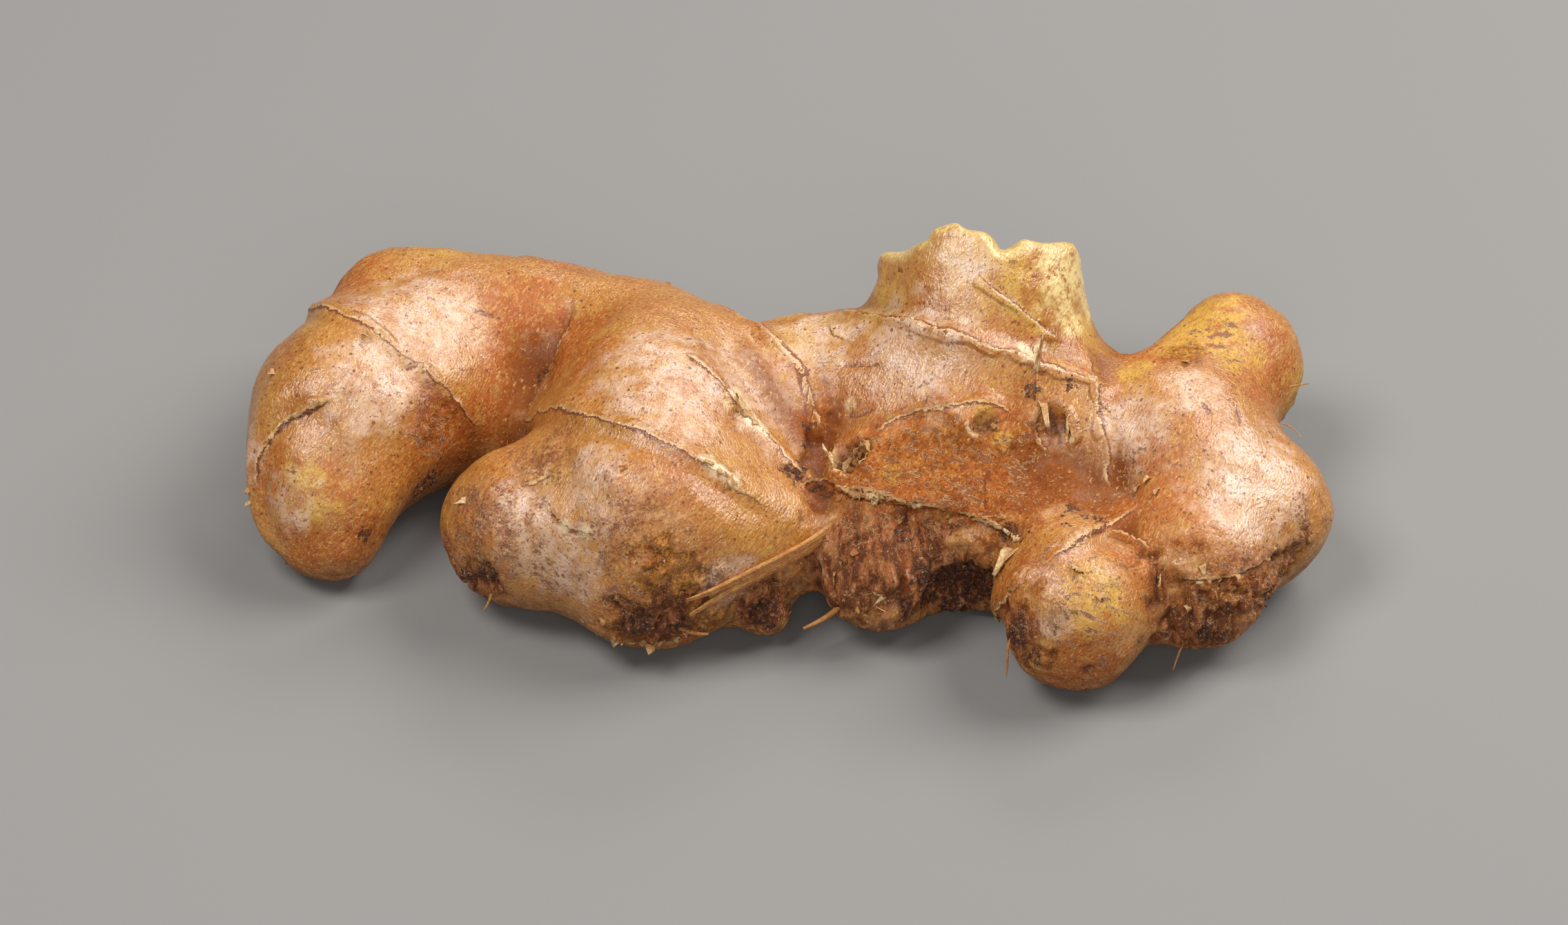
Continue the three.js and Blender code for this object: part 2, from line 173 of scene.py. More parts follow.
select_only(skin)
bpy.ops.object.mode_set(mode="EDIT")
bpy.ops.mesh.select_all(action="SELECT")
bpy.ops.mesh.remove_doubles(threshold=0.01 * MM)
bpy.ops.object.mode_set(mode="OBJECT")
solid_points = points_of(skin)
solid_hollows = hollowness(skin, rounds=30)
apply_modifier(skin, "SUBSURF", levels=2, render_levels=2)
apply_modifier(skin, "REMESH", mode="VOXEL", voxel_size=skin_spacing, use_smooth_shade=True)
apply_modifier(skin, "SMOOTH", factor=0.5, iterations=6)


# A smooth random field at each point, from -1 to 1: size is the size of its lumps in millimetres.
def field(places, size, seed, octaves=1):
    shifted = np.asarray(places) / size + np.array([seed * 7.31, seed * 3.17, seed * 5.53])
    if octaves == 1:
        return np.array([noise.noise(p) for p in shifted])
    return np.array([noise.fractal(p, 1.0, 2.0, octaves) for p in shifted])


# Random grains at each point, 1 at a grain's middle and 0 between the grains.
def grains(places, size, seed):
    shifted = places / size + seed * 4.7
    nearest = np.array([noise.voronoi(p)[0][0] for p in shifted])
    return np.clip(1 - nearest / 0.6, 0, 1)


# A soft step from 0 to 1 between two values.
def smooth_step(low, high, value):
    share = np.clip((value - low) / (high - low), 0, 1)
    return share * share * (3 - 2 * share)


# How much of each zone covers each point: a zone is a ball (x, y, z, radius) with a soft, ragged rim.
def covered(places, zones, ragged):
    cover = np.zeros(len(places))
    for x, y, z, radius in zones:
        away = np.linalg.norm(places - (x, y, z), axis=1) / radius
        cover = np.maximum(cover, 1 - smooth_step(0.5, 1.15, away + 0.5 * ragged))
    return cover


# Places squeezed along a direction, so that a field of them is drawn out that way.
def squeezed(places, direction):
    return places - 0.7 * (places @ direction)[:, None] * direction


# How far each point is from a line of places, and which way it lies from it.
def from_line(places, line):
    nearest = np.full(len(places), np.inf)
    way = np.zeros((len(places), 3))
    for start, end in zip(line[:-1], line[1:]):
        start, along = np.array(start, float), np.array(end, float) - start
        share = np.clip((places - start) @ along / (along @ along), 0, 1)
        aside = places - start - share[:, None] * along
        gap = np.linalg.norm(aside, axis=1)
        closer = gap < nearest
        nearest[closer] = gap[closer]
        way[closer] = aside[closer]
    return nearest, way


# Ring scars, where the sheath leaves grew: the middle of each, the way it faces along its lobe, how
# far it reaches, how high its torn edge stands and how wide the paper fringe left on it is.
RINGS = {
    "left_finger": ((-46.1, 13.6, 11.8), (-0.59, -0.71, -0.38), 16, 0.2, 0.3),
    "broad_lobe": ((-14.8, -4.1, 12), (-0.47, -0.77, -0.44), 20, 0.16, 0.25),
    "lobe_neck": ((-6.3, -1.8, 17), (-0.62, -0.79, -0.05), 12, 0.1, 0.25),
    "middle": ((-4.8, 10.7, 12), (0.81, 0.52, -0.26), 17, 0.1, 0.25),
    "stub": ((22.7, 10.2, 19), (0.31, 0.69, 0.65), 19, 0.4, 0.4),
    "stump": ((11.7, -6.3, 13), (-0.13, -0.5, -0.86), 12, 0.9, 0.9),
    "bud": ((31, -16, 9.4), (0.61, -0.63, -0.48), 12.5, 0.6, 0.5),
    "right_lobe": ((35.2, 0.7, 12.5), (1, 0.15, 0), 12, 0.1, 0.12),
}

# Torn edges that run only part of the way round: the line of each, the way down from it to the skin
# below, how high it stands and how wide its fringe is.
TORN_LINES = {
    "sheath_at_the_finger_tip": (
        [(-51, -0.6, 21.2), (-53, -0.7, 20.8), (-54.8, -0.7, 19.7), (-56.8, -0.8, 18.4),
         (-58.4, -1.3, 16.7), (-59.5, -2, 15), (-60.2, -2.7, 13.6), (-60.3, -4, 11.6), (-59.8, -5.5, 9.4)],
        (0.6, -0.75, -0.3), 1.2, 0.5,
    ),
    "arc_on_the_broad_lobe": (
        [(-27.1, -13.7, 19), (-26.5, -16, 18.1), (-24.8, -17.9, 17.6), (-22.6, -19.4, 17.8),
         (-19.7, -20.5, 18.4)],
        (-0.5, -0.7, -0.6), 0.4, 0.25,
    ),
    "golden_crack_on_the_broad_lobe": (
        [(-31.5, -12.5, 18.4), (-28.6, -12.3, 19.1), (-27, -11.9, 19.6), (-24.4, -11.9, 21.3)],
        (0.1, -0.7, -0.7), 0.3, 0.3,
    ),
    "flap_on_the_broad_lobe": (
        [(-9.5, -13.6, 24.4), (-8, -13.6, 23.5), (-5.9, -14.8, 21.8), (-4.2, -15.6, 19.8)],
        (-0.4, -0.8, -0.4), 0.15, 1.6,
    ),
    "flap_at_the_lobe_neck": (
        [(-5.6, -1.2, 23.6), (-4.4, -3, 22.4), (-2.9, -4.6, 21), (-1.4, -5.9, 19.5)],
        (-0.7, -0.7, 0), 0.1, 1.6,
    ),
    "shelf_over_the_stump": (
        [(5.2, -9.6, 16.2), (7.5, -11.7, 17.3), (10.4, -12.9, 17.8), (13, -13.7, 17.1), (16.5, -13.6, 17)],
        (-0.1, -0.6, -0.8), 1.5, 1.2,
    ),
    "shelf_beside_the_bud": (
        [(16.5, -13.6, 17), (18.6, -14.1, 16.4), (22.6, -14.5, 15.4), (25, -15.6, 14.1),
         (26.8, -17.2, 15.2)],
        (0, -0.6, -0.8), 1.3, 1.0,
    ),
    "arc_on_the_belly": (
        [(9, -6.3, 18.8), (10.5, -3.9, 19.7), (11.8, -3.3, 20.4), (14.8, -3.1, 21.7), (18.3, -3.2, 22.5),
         (21.5, -3, 23), (23.9, -2.9, 22.4), (25.6, -3.1, 21), (26.9, -3.9, 19.6)],
        (0, -0.8, -0.6), 0.3, 0.35,
    ),
    "scale_beside_the_belly_left": (
        [(29.7, -0.5, 22.1), (28.5, -2.2, 20.4), (28.5, -4.4, 19), (31.4, -6.9, 16.1)],
        (1, -0.2, -0.2), 0.6, 0.5,
    ),
    "scale_beside_the_belly_right": (
        [(29.7, -0.5, 22.1), (31.6, -2.3, 20.6), (32.3, -4.6, 18.8), (31.4, -6.9, 16.1)],
        (-1, -0.2, -0.2), 0.6, 0.4,
    ),
    "fold_on_the_stub": (
        [(20.1, 10.2, 32.6), (21.7, 8.8, 31.7), (27, 6.4, 28.5), (28.6, 6.1, 27), (33.5, 5.5, 24)],
        (0.7, 0.5, 0.3), 0.5, 0.2,
    ),
    "spike_under_the_stub": (
        [(28.6, 5.3, 26), (28.3, 2.8, 25), (28, 1.1, 23.9)],
        (-1, 0, 0), 0.4, 0.4,
    ),
    "spur_of_the_stub_ring": (
        [(4.4, 14.6, 20.8), (5.4, 9.9, 21.9), (6.9, 8.4, 22.6), (8.7, 7.4, 23.3)],
        (-0.6, -0.7, 0), 0.4, 0.4,
    ),
    "fold_over_the_bud": (
        [(24.8, -25.1, 11.5), (25.8, -23.3, 14.6), (27.9, -22.1, 16.4), (30.5, -20.5, 17.4),
         (33.4, -17.9, 17.2), (36.8, -16.4, 15.8), (40.2, -18.6, 16.1), (41.8, -21.5, 14.4)],
        (-0.35, 0.75, 0.55), 1.5, 0.0,
    ),
    "fold_between_the_lobes": (
        [(-25, 14.5, 22.5), (-26.6, 10.5, 19.6), (-27.8, 7, 16.4), (-28.6, 4.5, 13.6), (-29, 2, 10)],
        (-1, 0, 0), 2.2, 0.0,
    ),
    "seam_on_the_broad_lobe": (
        [(-27.7, -18.4, 14.1), (-27.5, -18.9, 8.7)],
        (1, 0, 0), 0.3, 0.15,
    ),
    "peel_at_the_lobe_foot": (
        [(-24, -19.6, 5.5), (-21, -21.6, 5.2), (-17.5, -23, 4.4), (-14.4, -23, 4.3), (-11.5, -22.4, 5)],
        (0, -0.2, -1), 0.6, 2.2,
    ),
    "scale_at_the_right_lobe_foot": (
        [(42, -21.5, 13.2), (45.5, -22.2, 13.6), (49, -21.9, 13.4), (52.5, -19.8, 13.2), (55.6, -16.4, 12)],
        (0.1, -0.6, -0.8), 0.6, 0.6,
    ),
}

# Cracks in the skin, each a line of places.
CRACKS = [
    [(22.9, -9.4, 18.4), (22.2, -11.5, 17.6), (22.6, -13.7, 16)],
    [(6.6, 4.9, 21.6), (8.4, 4.1, 22.4), (10.3, 3.4, 23.1)],
    [(6.9, -0.6, 18.9), (8.3, -1.1, 19.3), (9.6, -0.8, 20)],
    [(-43.3, 4.6, 21.4), (-42.2, 4.7, 21.8)],
    [(13.6, -13.8, 16.1), (13.1, -17.5, 13.5), (13.4, -20.4, 9.1)],
    [(47.2, -2.4, 22.2), (47.9, -3.6, 21.9)],
    [(51.1, -2, 20.9), (51.3, -3.8, 20.4)],
    [(1.4, 5, 20.8), (2, 2.1, 19.2), (2.3, -0.8, 16.9), (2.4, -6.8, 16.5)],
    [(30.2, -1.8, 21), (30, -4.8, 18.6)],
    [(31.2, -2.4, 20.5), (30.9, -5.2, 18.2)],
    [(-36, 14.4, 21.9), (-33.9, 14.2, 21.2)],
]

# Root scars: the middle and radius of each, how deep its pit is, how high its ragged collar stands,
# and how wide the rim of torn paper round it is, where it has one.
SCARS = [
    ((7.4, -6.3, 17.3), 2.8, 1.3, 0.6, 0.9),
    ((22.4, -4.2, 20.8), 2.1, 0.3, 0.35, 0.7),
    ((30.4, -3.4, 19.6), 1.5, 0.3, 0.1, 0),
    ((29.7, -29.1, 13.6), 2.1, 0.1, 0.25, 0.3),
    ((33.8, -30.8, 7.1), 1.6, 0.3, 0.2, 0),
    ((9.3, -21.3, 7.5), 2.4, 0.2, 0.4, 0.6),
    ((55.2, -16.8, 11.3), 1.6, 0.6, 0.3, 0),
    ((-24.3, 25.7, 17), 2.1, 0.6, 0.4, 0),
    ((35.7, 11.7, 5), 2.1, 0.6, 0.4, 0),
]

# Zones of the skin, each made of balls (x, y, z, radius). In the neck zone, between the lobes, the
# folds are partly filled.
ZONES = {
    "scurfy": [
        (-30, 25, 12, 8), (-50, 22, 10, 7), (8, 20, 10, 9), (38, 12, 12, 7), (54, 12, 9, 6),
        (-8, 22, 8, 6), (-33, -13, 14, 6), (-27, -10, 19, 5), (-36, -12, 11, 5), (-17, -18, 17, 7),
        (9, -10, 17, 6), (16, -10, 18, 8), (24, -10, 18, 8), (29, -10, 17, 5), (28, -26, 11, 5),
        (48, -22, 12, 6), (57, -10, 12, 4), (46, 6, 20, 4), (-41, 2, 17, 4),
    ],
    "flaky": [
        (6.5, -11, 16.5, 2.4), (9.5, -12.5, 17.3, 2.2), (13, -13.6, 17, 2), (18, -14, 16.6, 1.8),
        (23, -14.5, 15.4, 2), (26, -16.2, 14.3, 2), (8, -18, 11, 3.5), (9.3, -21.3, 7.5, 3),
        (47, -22.5, 12.5, 4), (54, -18.5, 11, 3.5), (-14, -22.8, 13.5, 3.2), (-10.8, -22.3, 12, 2.6),
        (-15.5, -24, 7, 3), (-20, -22, 6, 3), (22.4, -4.2, 20.8, 2), (30.4, -3.4, 19.6, 2),
        (31, -27, 14, 2.5),
    ],
    "neck": [(-1, 4, 20, 7), (0, -1, 19, 6), (-4, 8, 21, 5)],
    "crackled": [
        (-28, 26, 14, 7), (-52, 20, 11, 7), (6, 22, 12, 8), (36, 14, 14, 7), (-10, 20, 12, 6),
        (20, 18, 10, 6), (33, -25, 12, 8), (17, -9, 19, 9), (25, -8, 19, 7), (9, -12, 16, 5),
        (50, -22, 11, 6), (50, 10, 20, 5), (-34, -14, 12, 6), (-26, -18, 11, 5), (-17, -21, 13, 6),
        (40, -9, 17, 4), (-56, -4, 12, 4), (54, -20, 9, 5), (-40, 0, 14, 4),
    ],
    "warty": [
        (-13.6, -23.1, 14, 5.5), (-10.8, -22.3, 13, 4.5), (-16, -24.4, 9, 5.5), (-9.7, -22.1, 7, 4),
        (7, -20, 8, 3), (24, -17, 12, 3), (27, -29, 9, 3), (49, -23, 11, 3.5), (57, -14, 10, 3),
    ],
    "barky": [
        (9, -17.5, 10, 9), (14, -17, 11, 7), (-14, -23, 8, 6), (-34, -17, 8, 3.5), (47, -24, 7, 7),
        (54, -19, 8, 6), (26, -27.5, 10, 4), (20, -12, 6, 9), (41, -20, 11, 5), (-37, -12, 6, 5),
        (-2.5, -18, 7, 5), (1, -9.5, 15, 3),
    ],
    "earthy": [
        (-33.9, -17.5, 9, 2), (-36, -15, 7, 2.2), (-16.5, -24.4, 8.5, 3), (-12, -23.6, 7.5, 1.8),
        (-2.5, -19.3, 5.5, 2.6), (0.4, -9.2, 17, 1.8), (2.2, -6.6, 16.6, 1.5), (2.3, -3.5, 16.8, 1.3),
        (2.2, -0.8, 17.2, 1.1), (4.6, -9.8, 15, 1.3), (3.4, -8.4, 14.5, 1.5), (13.2, -15.6, 14.4, 1.7),
        (15, -18, 10, 2.6), (12.5, -19, 7, 2.5), (20, -12.5, 5, 7), (25.2, -15, 13.8, 1.6),
        (32, -12.9, 15.3, 1.5), (31.5, -16.9, 16.6, 0.9), (35, -14.9, 15.5, 1.1),
        (33.5, -14.5, 15, 1.4), (26, -27.5, 10, 2.3), (27.3, -29.7, 8.5, 2), (28, -0.2, 22.3, 1.3),
        (31.9, 0.4, 22.5, 1.4), (55.1, -3.2, 18.3, 0.8), (47.5, -24, 7, 2.4), (54, -18.5, 8, 2.0),
        (48.9, -23.3, 10.5, 1.2), (-41.2, -0.7, 8.5, 2.6), (-47.9, -9.5, 8.7, 1.1),
        (-27.5, 9, 16.2, 1.4), (-28.3, 6, 14, 1.4), (-28.6, 3, 12, 1.8),
    ],
    # Warm orange zones: partly the skin's own tone and partly painted shade on the shaded flanks and beside
    # the creases.
    "warm_and_shaded": [
        (28, -24, 12, 5), (38, -22, 13, 5), (33, -30, 8, 6), (-57.5, -3, 13, 5), (-30, 16, 21, 6),
        (44, 12, 20, 8), (-40, 4, 12, 7), (-52, -6, 12, 5), (14, -9, 18, 9), (23, -9, 18, 9),
        (8, -10, 17, 6), (50, 12, 19, 7), (56, 8, 18, 7), (40, -9, 17, 7), (44, -15, 16, 6),
        (-51.4, 22.3, 19.2, 6), (-54.5, -10.5, 8, 5), (-48, -9, 9, 4), (-32.2, 9.3, 15.5, 5.5),
        (-35, 5, 13, 5), (-22.1, 4.1, 23, 5), (-24, 9, 21, 5), (-22, -2, 22, 3), (40.3, -16.3, 15.5, 6),
        (38, -9, 16, 4), (0, 6, 20, 3), (4, 0, 16, 4), (22, -8, 19, 5), (25, -4, 21, 4), (42, 6, 20, 4),
        (30, -9, 16, 4),
    ],
    "golden": [
        (-40, 24, 16, 6), (0, 20, 18, 5), (56, 12, 12, 5), (50, 10, 21, 6), (3, 10, 22, 5),
        (12, 12, 25, 5), (-55.2, -6.6, 14.8, 2.6), (-6, -3, 23.4, 1.8), (-27, -11.9, 19.6, 2),
        (51.4, 14.8, 21.6, 3.5), (45, 8, 21, 3), (25.7, 6.5, 29.2, 1.6), (22, 8.5, 31.5, 1.3),
        (28.5, 5.5, 27.3, 1.6), (31, 4, 25, 1.8), (34.7, 9.4, 22.5, 3), (40, 4, 21, 2.5),
        (33, -26.5, 15, 2.5), (22.4, -3.6, 22.3, 1.5), (24.8, -6, 20, 1.8), (11, -10, 17, 2),
        (0, 8.5, 21.5, 2), (34, -26, 14, 4.5), (-53, -9, 12, 2.5), (48, 13, 22, 6), (24, 12, 32, 7),
    ],
    # Pale pinkish zones where the sheens lie: partly the skin's dry pale film and partly painted sheen.
    "pale_film_and_sheen": [
        (-24.9, -19.8, 13.9, 6), (-61.2, -1.3, 13.5, 3), (-13, -2, 26, 9), (-42, 13, 24, 8),
        (-47, 2, 22, 7), (-21, -14, 20, 5), (-4, 2, 23, 7), (4, 9, 22, 6), (14, 4, 26, 7),
        (53, -12, 18, 8), (40, -4, 20.4, 5), (37, -8, 18, 4), (29.5, -29, 13, 2.3), (-8, -20, 12, 4),
        (21.5, 13, 31, 5), (46, 0, 22, 4), (54, -8, 18, 7), (50, -14, 18, 5), (-57, -9, 13, 4),
        (-29, -15, 16, 6), (-20, -17, 18, 5),
    ],
    "papery": [
        (-9.2, -13.4, 24.2, 0.9), (-8.4, -13.5, 23.8, 1.2), (-7.3, -14, 23, 1.3),
        (-6.2, -14.6, 22, 1.1), (-5.4, -1.5, 23.4, 0.8), (-4.4, -2.9, 22.5, 1.1), (-3.5, -4, 21.6, 1.2),
        (-2.6, -5, 20.6, 1.0), (-24.8, -17.9, 17.6, 0.8), (-22.6, -19.4, 17.8, 0.9),
        (27.5, 2.6, 25.6, 1.3), (28.8, 4.2, 25.2, 0.9), (7, 0.4, 19.8, 0.8), (-21.4, -15.5, 20, 1.6),
    ],
    "creamy": [
        (31.9, 11.9, 28.9, 4.5), (33.5, 14.5, 27, 5.5), (27, 12.4, 33.5, 1.5), (33.5, 8, 26, 3.2),
    ],
}

points = points_of(skin)
outwards = outwards_of(skin)


# How far the torn edges wander from their lines at each place, and how whole they are there.
def wander_at(places):
    return 0.55 * field(places, 4, 1) + 0.3 * field(places, 1.2, 2)


def broken_at(places):
    return np.clip(0.65 + 0.9 * field(places, 3.5, 3), 0.05, 1.2)


# A search tree of a piece's triangles, which finds the nearest place on it and where a ray meets it.
def tree_of(piece):
    corners = rows_of(piece.data.loop_triangles, "vertices", 3, int)
    return BVHTree.FromPolygons(points_of(piece).tolist(), corners.tolist())


# Places along a line, a set step apart.
def paced(line, step):
    line = np.array(line, float)
    reached = np.concatenate([[0], np.cumsum(np.linalg.norm(np.diff(line, axis=0), axis=1))])
    stops = np.linspace(0, reached[-1], max(4, int(reached[-1] / step)))
    return np.stack([np.interp(stops, reached, line[:, axis]) for axis in range(3)], axis=1)


bare_tree = tree_of(skin)


# A line of places laid onto the skin.
def laid_on_skin(line, step=1.2):
    return [bare_tree.find_nearest(Vector(place))[0] for place in paced(line, step)]


ragged = field(points, 2.4, 11, 3)
wander = wander_at(points)
broken = broken_at(points)
above_floor = smooth_step(0.5, 4, points[:, 2])
masks = {zone: covered(points, balls, ragged) for zone, balls in ZONES.items()}
for name in ("torn_edge", "collar", "tear_near", "tear_past", "scar", "fold"):
    masks[name] = np.zeros(len(points))

# The fold mask is 1 where the solid itself is as hollow as a full fold, and comes from the solid's
# nearest corners. It partly fills the neck in the relief, and in the finish it carries painted shade in
# the folds.
nearest_corners = 3
full_fold = 1.3
solid_tree = KDTree(len(solid_points))
for index, place in enumerate(solid_points):
    solid_tree.insert(place, index)
solid_tree.balance()
for index, place in enumerate(points):
    found = solid_tree.find_n(place, nearest_corners)
    nearness = np.array([1 / (0.3 + gap) for _, _, gap in found])
    hollows = solid_hollows[[corner for _, corner, _ in found]]
    masks["fold"][index] = hollows @ nearness / nearness.sum() / full_fold

# The relief, in millimetres: the unevenness and fibres of the whole skin, the filled neck, the warts,
# the scurf, the ridges of the bark and the grains of earth.
along_the_lobes = np.array([0.45, 0.75, 0.48])
down_the_front = np.array([-0.1, 0.5, 0.86])
along_points = squeezed(points, along_the_lobes)
down_points = squeezed(points, down_the_front)
relief = 0.5 * field(points, 7, 4) + 0.12 * field(points, 2.6, 5, 2)
relief += 0.04 * field(along_points, 1.7, 9, 2)
relief += masks["neck"] * 1.5 * np.clip(masks["fold"], 0, 1)
relief += masks["warty"] * 0.8 * (grains(points, 1.6, 6) - 0.3)
relief += masks["scurfy"] * 0.32 * field(points, 1.4, 7, 3)
relief -= masks["barky"] * 0.9 * (1 - np.abs(field(down_points, 2.4, 12, 2)) / 0.3).clip(0, 1)
relief += masks["scurfy"] * 0.3 * field(points, 2.8, 13, 2)
relief += masks["earthy"] * 0.35 * (grains(points, 1.0, 8) - 0.2)


# The finish draws its fine lines from how far past the nearest tear each point is, kept as a share
# of the widest distance either way, in millimetres, and from how near and how whole that tear is.
widest_past = 2


def mark_tear(past, near):
    closeness = near * np.clip(1 - np.abs(past) / widest_past, 0, 1)
    closer = closeness > masks["tear_near"]
    masks["tear_near"][closer] = closeness[closer]
    masks["tear_past"][closer] = 0.5 + 0.5 * past[closer] / widest_past


# A torn edge at a distance past it: the old skin rises to its edge, and the skin below starts sunk
# and grows out again.
def tear(past, height, near):
    mark_tear(past, near)
    sheath = np.where(past < 0, np.exp(np.minimum(past, 0) / 1.5), 0)
    below = np.where(past >= 0, np.exp(-np.maximum(past, 0) / 1.1), 0)
    masks["torn_edge"] = np.maximum(masks["torn_edge"], near * np.exp(-(((past + 0.15) / 0.25) ** 2)))
    return near * height * (0.55 * sheath - 0.5 * below)


for middle, facing, reach, height, _ in RINGS.values():
    facing = np.array(facing) / np.linalg.norm(facing)
    away = points - np.array(middle)
    past = away @ facing
    aside = np.linalg.norm(away - past[:, None] * facing, axis=1)
    past = past / np.sqrt(np.clip(1 - (outwards @ facing) ** 2, 0.1, 1))
    near = 1 - smooth_step(0.8 * reach, reach, aside)
    relief += tear(past + wander, height, near * np.clip(broken, 0.5, 1.1) * above_floor)
for line, down, height, _ in TORN_LINES.values():
    gap, way = from_line(points, laid_on_skin(line))
    side = np.sign(way @ np.array(down))
    near = 1 - smooth_step(2.5, 4, gap)
    from_end = np.linalg.norm(points - line[0], axis=1)
    from_end = np.minimum(from_end, np.linalg.norm(points - line[-1], axis=1))
    near = near * smooth_step(0, 4, from_end) * np.clip(broken, 0.5, 1)
    relief += tear(side * gap + 0.3 * wander, height, near)
for crack in CRACKS:
    gap, _ = from_line(points, laid_on_skin(crack))
    relief -= 0.25 * np.exp(-((gap / 0.4) ** 2))
    mark_tear(gap + 0.03, np.clip(broken, 0.5, 0.9))
for middle, radius, pit, collar_height, _ in SCARS:
    away = points - np.array(middle)
    reach = np.linalg.norm(away, axis=1) / radius + 0.3 * ragged + 0.15 * wander
    collar = np.exp(-(((reach - 1) / 0.25) ** 2)) * np.clip(1.8 * broken - 0.7, 0, 1.2)
    relief += collar_height * collar - pit * (1 - smooth_step(0.35, 1, reach))
    masks["collar"] = np.maximum(masks["collar"], 0.6 * collar)
    inside = (1 - smooth_step(0.4, 0.95, reach)) * min(1, 0.3 + pit)
    masks["scar"] = np.maximum(masks["scar"], inside)
move_points(skin, points + outwards * relief[:, None])

# The stub's torn face, where the flesh and its fibres show: above the ring, facing back and up.
stub_middle = (23.1, 21.3, 26.7)
stub_axis = np.array([0.04, 0.69, 0.72])
stub_radius = 13
up_the_stub = (points - stub_middle) @ stub_axis
off_the_axis = np.linalg.norm(np.cross(points - stub_middle, stub_axis), axis=1)
masks["flesh"] = smooth_step(-5.5, -3.5, up_the_stub) * smooth_step(0.1, 0.5, outwards @ stub_axis)
masks["flesh"] *= off_the_axis < stub_radius

# The crevice mask is 1 where the relief makes the skin hollow, and carries painted shade in the
# hollows. Bark also covers the faces turned down, which darkens the underside: partly the bark's own
# colour and partly painted shade.
crevice_start = 0.15
crevice_depth = 0.6
masks["crevice"] = (hollowness(skin, rounds=60) - crevice_start) / crevice_depth
underneath = smooth_step(0.1, -0.7, outwards_of(skin)[:, 2])
masks["barky"] = np.maximum(masks["barky"], 0.7 * underneath)
for name, values in masks.items():
    mask = skin.data.attributes.new(name, "FLOAT", "POINT")
    mask.data.foreach_set("value", np.clip(values, 0, 1).astype(np.float32))


# The finish of the skin: thin, satin and a little translucent, golden tan with warm, golden, pale and
# scurfy patches, fine fibres, specks, dots, hairlines and short strokes where it flakes. The warm patches
# are partly painted shade, the pale patches and pale flecks partly painted sheen and glints, and the
# hollows and folds carry painted shade. Each tear is a pale edge over a dark red line that is partly
# painted shadow, the rough parts are like bark and darken the underside partly as painted shade, and
# earth lies in the hollows.
def add_node(tree, kind, inputs, **settings):
    new = tree.nodes.new("ShaderNode" + kind)
    for setting, value in settings.items():
        setattr(new, setting, value)
    for socket, value in inputs.items():
        if isinstance(value, bpy.types.NodeSocket):
            tree.links.new(value, new.inputs[socket])
        else:
            new.inputs[socket].default_value = value
    return new.outputs


def mask_of(tree, name):
    return add_node(tree, "Attribute", {}, attribute_name=name)["Fac"]


# What is worked out from a socket is worked out in the socket's own node tree, its id_data.
def add_up(first, second, clamp=False):
    inputs = {0: first, 1: second}
    return add_node(first.id_data, "Math", inputs, operation="ADD", use_clamp=clamp)[0]


def times(first, second):
    return add_node(first.id_data, "Math", {0: first, 1: second}, operation="MULTIPLY")[0]


def noise_of(place, scale, detail=4, roughness=0.55):
    inputs = {"Vector": place, "Scale": scale, "Detail": detail, "Roughness": roughness}
    return add_node(place.id_data, "TexNoise", inputs)["Fac"]


def cells_of(place, scale, feature):
    inputs = {"Vector": place, "Scale": scale}
    return add_node(place.id_data, "TexVoronoi", inputs, feature=feature)["Distance"]


def ramp_of(value, low, high, to_low=0.0, to_high=1.0):
    inputs = {"Value": value, "From Min": low, "From Max": high, "To Min": to_low, "To Max": to_high}
    return add_node(value.id_data, "MapRange", inputs, interpolation_type="SMOOTHSTEP")["Result"]


# Places for marks that are that many times as long in one direction.
def drawn_along(place, direction, length):
    turn = Vector(direction).to_track_quat("Z", "Y").to_euler()
    inputs = {"Vector": place, "Rotation": turn, "Scale": (1, 1, length)}
    return add_node(place.id_data, "Mapping", inputs, vector_type="TEXTURE")[0]


# Layers of colour laid over a first one, each with the share that it covers and its colour.
def lay_over(color, layers):
    for share, over in layers:
        inputs = {0: share, 6: color, 7: over}
        color = add_node(share.id_data, "Mix", inputs, data_type="RGBA", clamp_factor=True)[2]
    return color


# Fine relief on a finish, as high in millimetres as the height is at most.
def add_bump(shader, height, highest):
    inputs = {"Height": height, "Strength": 1.0, "Distance": highest * MM}
    bump = add_node(height.id_data, "Bump", inputs)
    height.id_data.links.new(bump["Normal"], shader.inputs["Normal"])


# An empty node group with named sockets, and the sockets inside it that its values come and go by.
def add_group(name, inputs, outputs):
    group = bpy.data.node_groups.new(name, "ShaderNodeTree")
    for in_out, sockets in (("INPUT", inputs), ("OUTPUT", outputs)):
        for socket, kind in sockets.items():
            group.interface.new_socket(socket, in_out=in_out, socket_type="NodeSocket" + kind)
    return group, group.nodes.new("NodeGroupInput").outputs, group.nodes.new("NodeGroupOutput").inputs


# Flecks: ragged spots that cover a share of the surface, all of about one size.
flecks, flecks_in, flecks_out = add_group(
    "flecks", {"Vector": "Vector", "Scale": "Float", "Cover": "Float"}, {"Mask": "Float"}
)
speckle = noise_of(flecks_in["Vector"], flecks_in["Scale"], 4, 0.68)
spread = add_node(flecks, "MapRange", {"Value": speckle, "From Min": 0.28, "From Max": 0.72})
above = add_up(spread["Result"], flecks_in["Cover"])
flecks.links.new(ramp_of(above, 0.92, 1.08), flecks_out["Mask"])


def flecks_of(place, scale, cover):
    inputs = {"Vector": place, "Scale": scale, "Cover": cover}
    return add_node(place.id_data, "Group", inputs, node_tree=flecks)["Mask"]


def start_finish(name):
    finish = bpy.data.materials.new(name)
    finish.use_nodes = True
    tree = finish.node_tree
    inputs = {"Vector": add_node(tree, "TexCoord", {})["Object"], "Scale": (1000, 1000, 1000)}
    in_millimetres = add_node(tree, "Mapping", inputs)[0]
    return finish, tree, tree.nodes["Principled BSDF"], in_millimetres


